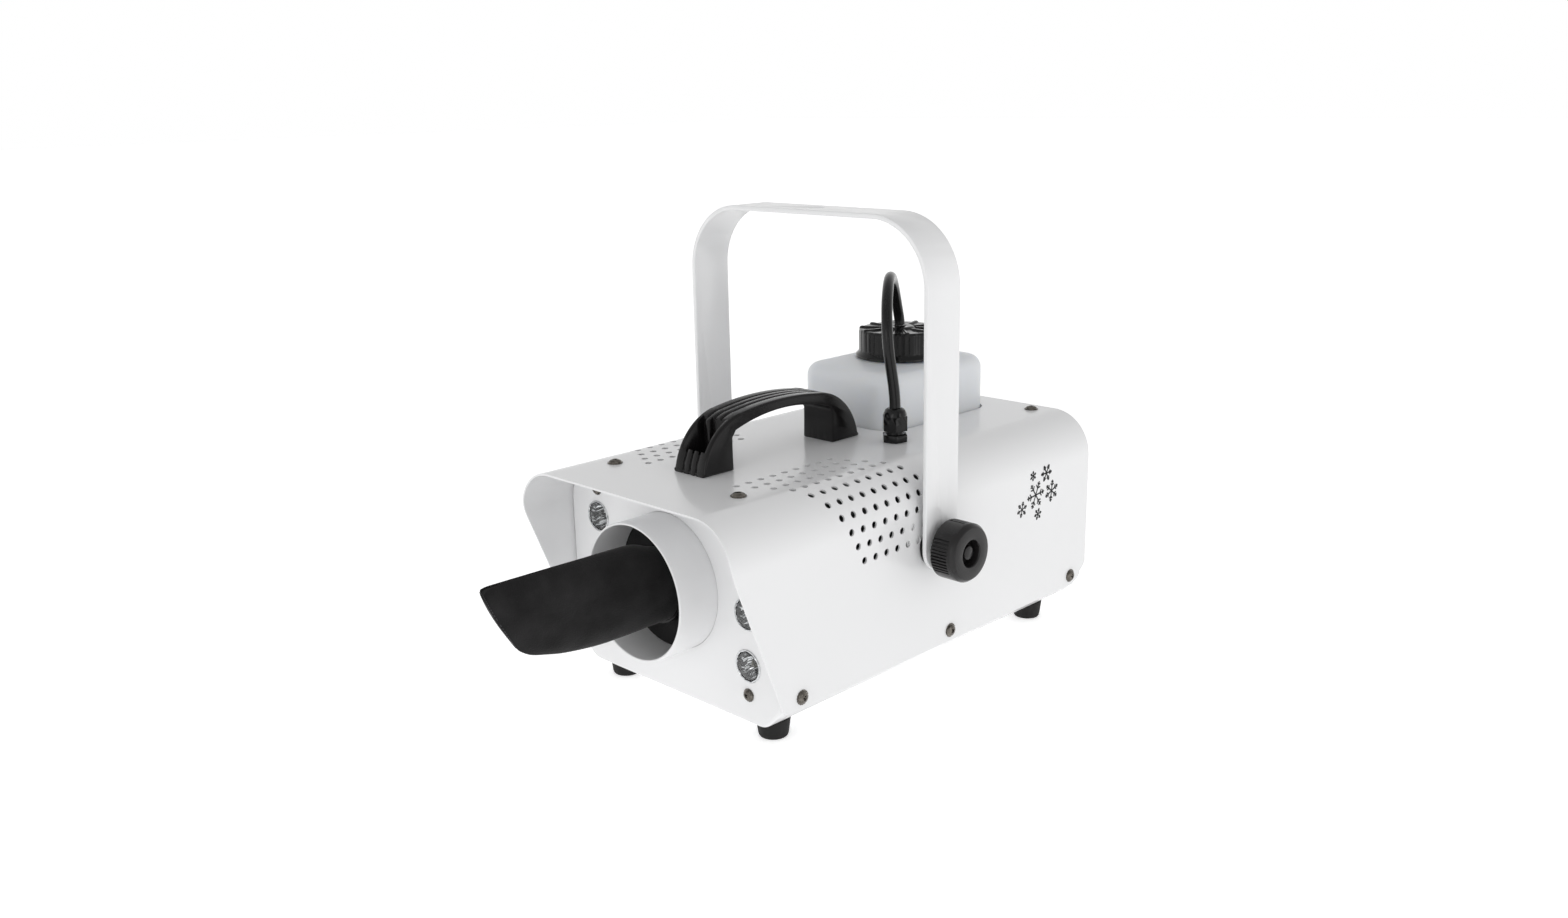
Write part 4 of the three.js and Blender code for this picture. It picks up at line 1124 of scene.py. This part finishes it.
def block_mesh(xs, ys, zs):
    """A plain box."""
    mesh = bpy.data.meshes.new("block")
    work = bmesh.new()
    bmesh.ops.create_cube(work, size=1.0)
    low, high = at(xs[0], ys[0], zs[0]), at(xs[1], ys[1], zs[1])
    for vert in work.verts:
        vert.co = Vector(high[i] if vert.co[i] > 0 else low[i] for i in range(3))
    work.to_mesh(mesh)
    work.free()
    return mesh


add_handle()

# ---- bottle and cap

BOTTLE_X = (-59.0, 24.0)
BOTTLE_Y = (169.0, 277.0)
BOTTLE_BOTTOM = 39.6
BOTTLE_CORNER = 18.0
BEND_TOP = 166.2


def bottle_ring(inset, z):
    """A rounded rectangle drawn in by inset."""
    xs = (BOTTLE_X[0] + inset, BOTTLE_X[1] - inset)
    ys = (BOTTLE_Y[0] + inset, BOTTLE_Y[1] - inset)
    arcs = corner_arcs(xs, ys, max(BOTTLE_CORNER - inset, 2.0))
    ring = []
    for arc, following in zip(arcs, arcs[1:] + arcs[:1]):
        ring += arc
        for k in range(1, 8):
            ring.append([a + (b - a) * k / 8 for a, b in zip(arc[-1], following[0])])
    return [(x, y, z) for x, y in ring]


def add_bottle():
    """The blown bottle: a rounded box whose shoulder crowns towards the neck."""
    foot, bend = 5.0, 8.5
    levels = [(8, BOTTLE_BOTTOM + 1.5), (7.4, BOTTLE_BOTTOM), (5, BOTTLE_BOTTOM)]
    for angle in map(math.radians, (20, 45, 70, 90)):
        levels.append((foot - foot * math.sin(angle), BOTTLE_BOTTOM + foot - foot * math.cos(angle)))
    levels += [(0.0, z) for z in (60.0, 90.0, 120.0, 145.0)]
    for angle in map(math.radians, (0, 12, 24, 36, 48, 60, 71, 80)):
        levels.append((bend - bend * math.cos(angle), BEND_TOP - bend + bend * math.sin(angle)))
    rings = [bottle_ring(inset, z) for inset, z in levels]
    last = rings[-1]
    for t, rise in ((0.12, 0.55), (0.25, 1.0), (0.5, 1.6), (0.75, 1.95), (0.93, 2.1), (1.0, 2.1)):
        rings.append([
            (x + (cx - x) * t, y + (cy - y) * t, z + rise)
            for (x, y, z), (cx, cy) in zip(last, neck_circle(last, 24.6))
        ])
    for radius, z in ((24.3, 168.2), (22.0, 168.2), (21.8, 169.0), (21.8, 184.0), (20.0, 184.4)):
        rings.append([(x, y, z) for x, y in neck_circle(last, radius)])
    count = len(last)
    points = [p for ring in rings for p in ring]
    faces = ring_faces(len(rings), count)
    faces += end_caps(len(rings), count)
    add_piece(
        "bottle_blown", points, faces, MILKY, "bottle", ("fluid_bottle",), "milky_plastic", smooth=50.0,
    )


def neck_circle(ring, radius):
    """Where the spokes from the neck's middle to a ring's points cross a circle."""
    circle = []
    for x, y, _ in ring:
        angle = math.atan2(y - NECK[1], x - NECK[0])
        circle.append((NECK[0] + radius * math.cos(angle), NECK[1] + radius * math.sin(angle)))
    return circle


CAP_RIBS = 10
CAP_GRIPS = 28
CAP_SIDES = 280


def add_cap():
    """A black screw cap: shallow grips round its side, a flared foot, and ribs like spokes on its top."""
    profile = [
        (27.6, 168.5), (29.6, 168.5), (30.0, 168.9), (30.0, 170.0), (29.5, 170.7), (28.4, 171.6),
        (27.9, 172.6), (27.7, 173.6), (27.7, 185.2), (27.5, 186.2), (27.0, 186.9), (26.0, 187.2),
        (24.0, 187.1), (17.0, 187.0), (11.0, 187.0), (10.2, 187.3), (9.6, 188.0), (8.8, 188.5),
        (4.6, 188.5), (4.1, 188.2), (3.9, 187.5), (3.9, 185.5), (22.8, 185.5), (22.8, 170.0),
    ]

    def moulded(angle, radius, along):
        if 27.0 < radius < 28.0 and 173.0 < along < 186.5:
            radius -= 0.28 * max(0.0, math.cos(CAP_GRIPS * angle) - 0.1) / 0.9
        if 10.5 < radius < 27.6 and along > 186.0:
            rib = math.cos(CAP_RIBS * angle + 0.6)
            width = 0.62 + 0.2 * (radius - 10.0) / 17.0
            along += min(max(rib - width, 0.0) / 0.12, 1.0)
        return radius, along

    body = turned(profile, "z", (*NECK, 0), CAP_SIDES, moulded)
    add_piece("cap_moulded", *body, BLACK_GLOSS, "cap", ("bottle_cap",), "black_plastic", smooth=40.0)


add_bottle()
add_cap()

# ---- knobs

KNOB_BACK = 99.3
KNOB_RADIUS = 17.8
RIB_PITCH = 6.6
RIB_GROOVES = 11
RIB_SECTION = ((-1.75, 0.0), (-1.0, 1.15), (1.0, 1.15), (1.75, 0.0))
RIBBED_THIRDS = (180.0, 60.0, 300.0)
RIBS_END = 16.9


def knob_angles():
    """The knob's angles in degrees from +y, and how deep its ribbed back is cut at each."""
    cuts = []
    for middle_angle in RIBBED_THIRDS:
        first = middle_angle - RIB_PITCH * (RIB_GROOVES - 1) / 2
        for k in range(RIB_GROOVES):
            cuts += [(first + k * RIB_PITCH + turn, depth) for turn, depth in RIB_SECTION]
        cuts += [(middle_angle + 37.0 + 4.0 * k, 0.0) for k in range(12)]
    cuts = sorted((angle % 360, depth) for angle, depth in cuts)
    return [math.radians(angle) for angle, _ in cuts], [depth for _, depth in cuts]


def add_knob(side_name, side):
    """A clamp knob: a back boss, a ribbed grip, and a dished face with a boss in it."""
    angles, depths = knob_angles()
    depth_at = dict(zip(angles, depths))
    profile = [
        (0.0, 13.7), (4.4, 13.7), (4.4, 0.3), (4.8, 0.0), (10.4, 0.0), (11.0, 0.5), (11.0, 4.4),
        (16.4, 4.4), (17.3, 4.6), (17.7, 5.1), (KNOB_RADIUS, 5.8), (KNOB_RADIUS, 16.5),
        (KNOB_RADIUS, RIBS_END), (KNOB_RADIUS, 18.9), (17.62, 19.5), (16.3, 21.25), (15.95, 21.6),
        (15.4, 21.8), (9.2, 21.8), (8.6, 21.7), (8.25, 21.35), (8.05, 20.7), (7.4, 15.2), (4.3, 15.2),
        (4.3, 18.9), (4.1, 19.6), (3.5, 20.0), (0.0, 20.1),
    ]

    def ribbed(angle, radius, along):
        if radius > 17.0 and along < RIBS_END - 0.1:
            radius -= depth_at[angle]
        return radius, side * (KNOB_BACK + along)

    add_piece(
        f"knob_{side_name}_moulded", *turned(profile, "x", (0, *PIVOT), angles, ribbed), KNOB_PLASTIC,
        f"knob_{side_name}", (f"clamp_knob_{side_name}",), "black_plastic", smooth=34.0,
    )


for side_name, side in SIDES:
    add_knob(side_name, side)

# ---- feet


def add_feet():
    profile = [
        (0.0, -11.9), (5.8, -11.9), (6.4, -12.0), (7.3, -12.0), (8.1, -11.7), (8.6, -11.0), (8.9, -10.0),
        (10.0, -1.4), (10.15, -0.6), (10.0, -0.05), (4.2, -0.05), (2.2, -0.05), (2.2, 3.5), (0.0, 3.5),
    ]
    for node in ("foot_front_left", "foot_front_right", "foot_rear_left", "foot_rear_right"):
        x, y, _ = middle(node)
        body = turned(profile, "z", (x, y, 0), 56)
        add_piece(f"{node}_rubber", *body, FOOT_RUBBER, "base", (node,), "black_rubber", smooth=40.0)


add_feet()

# ---- pieces refined from the CAD

for node, material, width in (
    ("yoke", WHITE_PAINT, 0.7), ("gland_body", BLACK_GLOSS, 0.45), ("gland_nut", BLACK_GLOSS, 0.45),
    ("pivot_stud_left", SCREW_METAL, 0.3), ("pivot_stud_right", SCREW_METAL, 0.3),
    ("friction_washer_left", FOOT_RUBBER, 0.4), ("friction_washer_right", FOOT_RUBBER, 0.4),
    ("power_inlet", BLACK_PLASTIC, 0.5), ("switch_housing", BLACK_PLASTIC, 0.4),
    ("switch_rocker", BLACK_GLOSS, 0.4), ("button_housing", BLACK_PLASTIC, 0.3),
    ("test_button", RED_PLASTIC, 0.3), ("bottle_well", PLAIN_STEEL, 0.3),
):
    refined(node, material, width)

for node, material in (
    ("spray_nozzle", BRASS), ("sock_clamp", BLACK_PLASTIC), ("blower_housing", BLACK_PLASTIC),
    ("blower_impeller", BLACK_PLASTIC), ("blower_motor", PLAIN_STEEL), ("fluid_pump", BLACK_PLASTIC),
    ("power_board", CIRCUIT_BOARD), ("led_board_left", CIRCUIT_BOARD), ("led_board_right", CIRCUIT_BOARD),
    ("pickup_tube", HOSE_RUBBER),
):
    mesh = frame["nodes"][node].data
    mesh.materials.clear()
    mesh.materials.append(material)

# ---- rear panel details

PIN_PLACES = ((-7, -2), (7, -2), (0, 2))
PIN_HALF = (1.05, 2.55)
PIN_REACH = (280.5, 290.2)


def add_inlet_pins():
    """Three flat pins in the mains inlet."""
    x, _, z = middle("power_inlet")
    half_x, half_z = PIN_HALF
    for number, (dx, dz) in enumerate(PIN_PLACES, 1):
        xs, zs = (x + dx - half_x, x + dx + half_x), (z + dz - half_z, z + dz + half_z)
        mesh = block_mesh(xs, PIN_REACH, zs)
        pin = place_mesh(f"inlet_pin_{number}", mesh, BRASS, "base", ())
        soften(pin, 0.35, 2)


add_inlet_pins()

# ---- printed snowflakes

# Each flake is (y, z, radius, turn in radians).
FLAKES = (
    (234.5, 87.0, 9.4, 0.1), (252.5, 86.0, 7.4, 0.4), (246.0, 99.5, 6.0, 0.0), (219.5, 80.5, 5.4, 0.3),
    (237.5, 73.5, 4.0, 0.2), (231.0, 100.5, 3.4, 0.5),
)
INK_GAP = 0.04
INK_THICKNESS = 0.06
STROKE_HALF = 0.62 * 0.82
SMALL_STROKE_HALF = 0.5 * 0.82


def heading(angle):
    return Vector((math.cos(angle), math.sin(angle)))


def flake_strokes(radius):
    """Straight strokes of one six-armed flake: each arm with two pairs of side twigs."""
    strokes = []
    for arm in range(6):
        angle = arm * math.pi / 3
        tip = heading(angle) * radius
        strokes.append((Vector((0, 0)), tip))
        for share, twig in ((0.5, 0.3), (0.76, 0.2)):
            root = tip * share
            for lean in (-1, 1):
                strokes.append((root, root + heading(angle + lean * math.pi / 3.4) * radius * twig))
    return strokes


def add_snowflakes():
    """The flakes as flat strips of ink just off the cover's right side."""
    points, faces = [], []
    face_x = CASE_SIDE + INK_GAP
    for y, z, radius, spin in FLAKES:
        width = SMALL_STROKE_HALF if radius < 6 else STROKE_HALF
        turn = Matrix.Rotation(spin, 2)
        for start, end in flake_strokes(radius):
            start, end = turn @ start, turn @ end
            run = (end - start).normalized()
            half = Vector((-run.y, run.x)) * width
            corners = [start - half, end - half, end + half, start + half]
            first = len(points)
            for depth in (0.0, INK_THICKNESS):
                points += [(face_x + depth, y + c.x, z + c.y) for c in corners]
            strip = [(3, 2, 1, 0), (4, 5, 6, 7), *ring_faces(2, 4)]
            faces += [tuple(first + k for k in loop) for loop in strip]
    add_piece("printed_snowflakes", points, faces, DECAL_INK, "base", (), "black_plastic", smooth=None)


add_snowflakes()

# ---- stage and light


def add_floor():
    """A pale floor that glows a little, so that it meets the white studio without an edge."""
    size = 12.0
    corners = [(-size, -size, 0), (size, -size, 0), (size, size, 0), (-size, size, 0)]
    mesh = new_mesh("floor", corners, [(0, 1, 2, 3)])
    floor = new_object("floor", mesh)
    mesh.materials.append(surface(
        "pale_floor", (0.93, 0.93, 0.93), 0.7, tint=0.004, grain_scale=200.0, grain_strength=0.05,
        Emission_Color=(1, 1, 1, 1), Emission_Strength=0.5,
    ))


def add_world():
    """An even white studio, brighter round the sides than overhead."""
    world = bpy.data.worlds.new("studio")
    bpy.context.scene.world = world
    world.use_nodes = True
    nodes, links = world.node_tree.nodes, world.node_tree.links
    place = nodes.new("ShaderNodeTexCoord")
    split = nodes.new("ShaderNodeSeparateXYZ")
    fade = nodes.new("ShaderNodeMapRange")
    set_inputs(fade, From_Min=0.12, From_Max=0.75, To_Min=1.0, To_Max=0.56)
    links.new(place.outputs["Generated"], split.inputs["Vector"])
    links.new(split.outputs["Z"], fade.inputs["Value"])
    links.new(fade.outputs["Result"], nodes["Background"].inputs["Strength"])
    nodes["Background"].inputs["Color"].default_value = (1.0, 1.0, 1.0, 1.0)


def add_softbox(name, place, aim, size, power):
    light = bpy.data.lights.new(name, "AREA")
    light.shape = "RECTANGLE"
    light.size, light.size_y = size
    light.energy = power
    holder = new_object(name, light)
    holder.location = place
    holder.rotation_mode = "QUATERNION"
    holder.rotation_quaternion = (Vector(aim) - Vector(place)).to_track_quat("-Z", "Y")


add_floor()
add_world()
add_softbox("front_softbox", (0.4, -1.7, 0.6), (0, 0, 0.1), (0.6, 0.6), 1.5)
add_softbox("side_softbox", (1.7, 0.1, 0.5), (0, 0, 0.1), (0.6, 0.6), 1.1)

bpy.context.scene.view_settings.view_transform = "Standard"
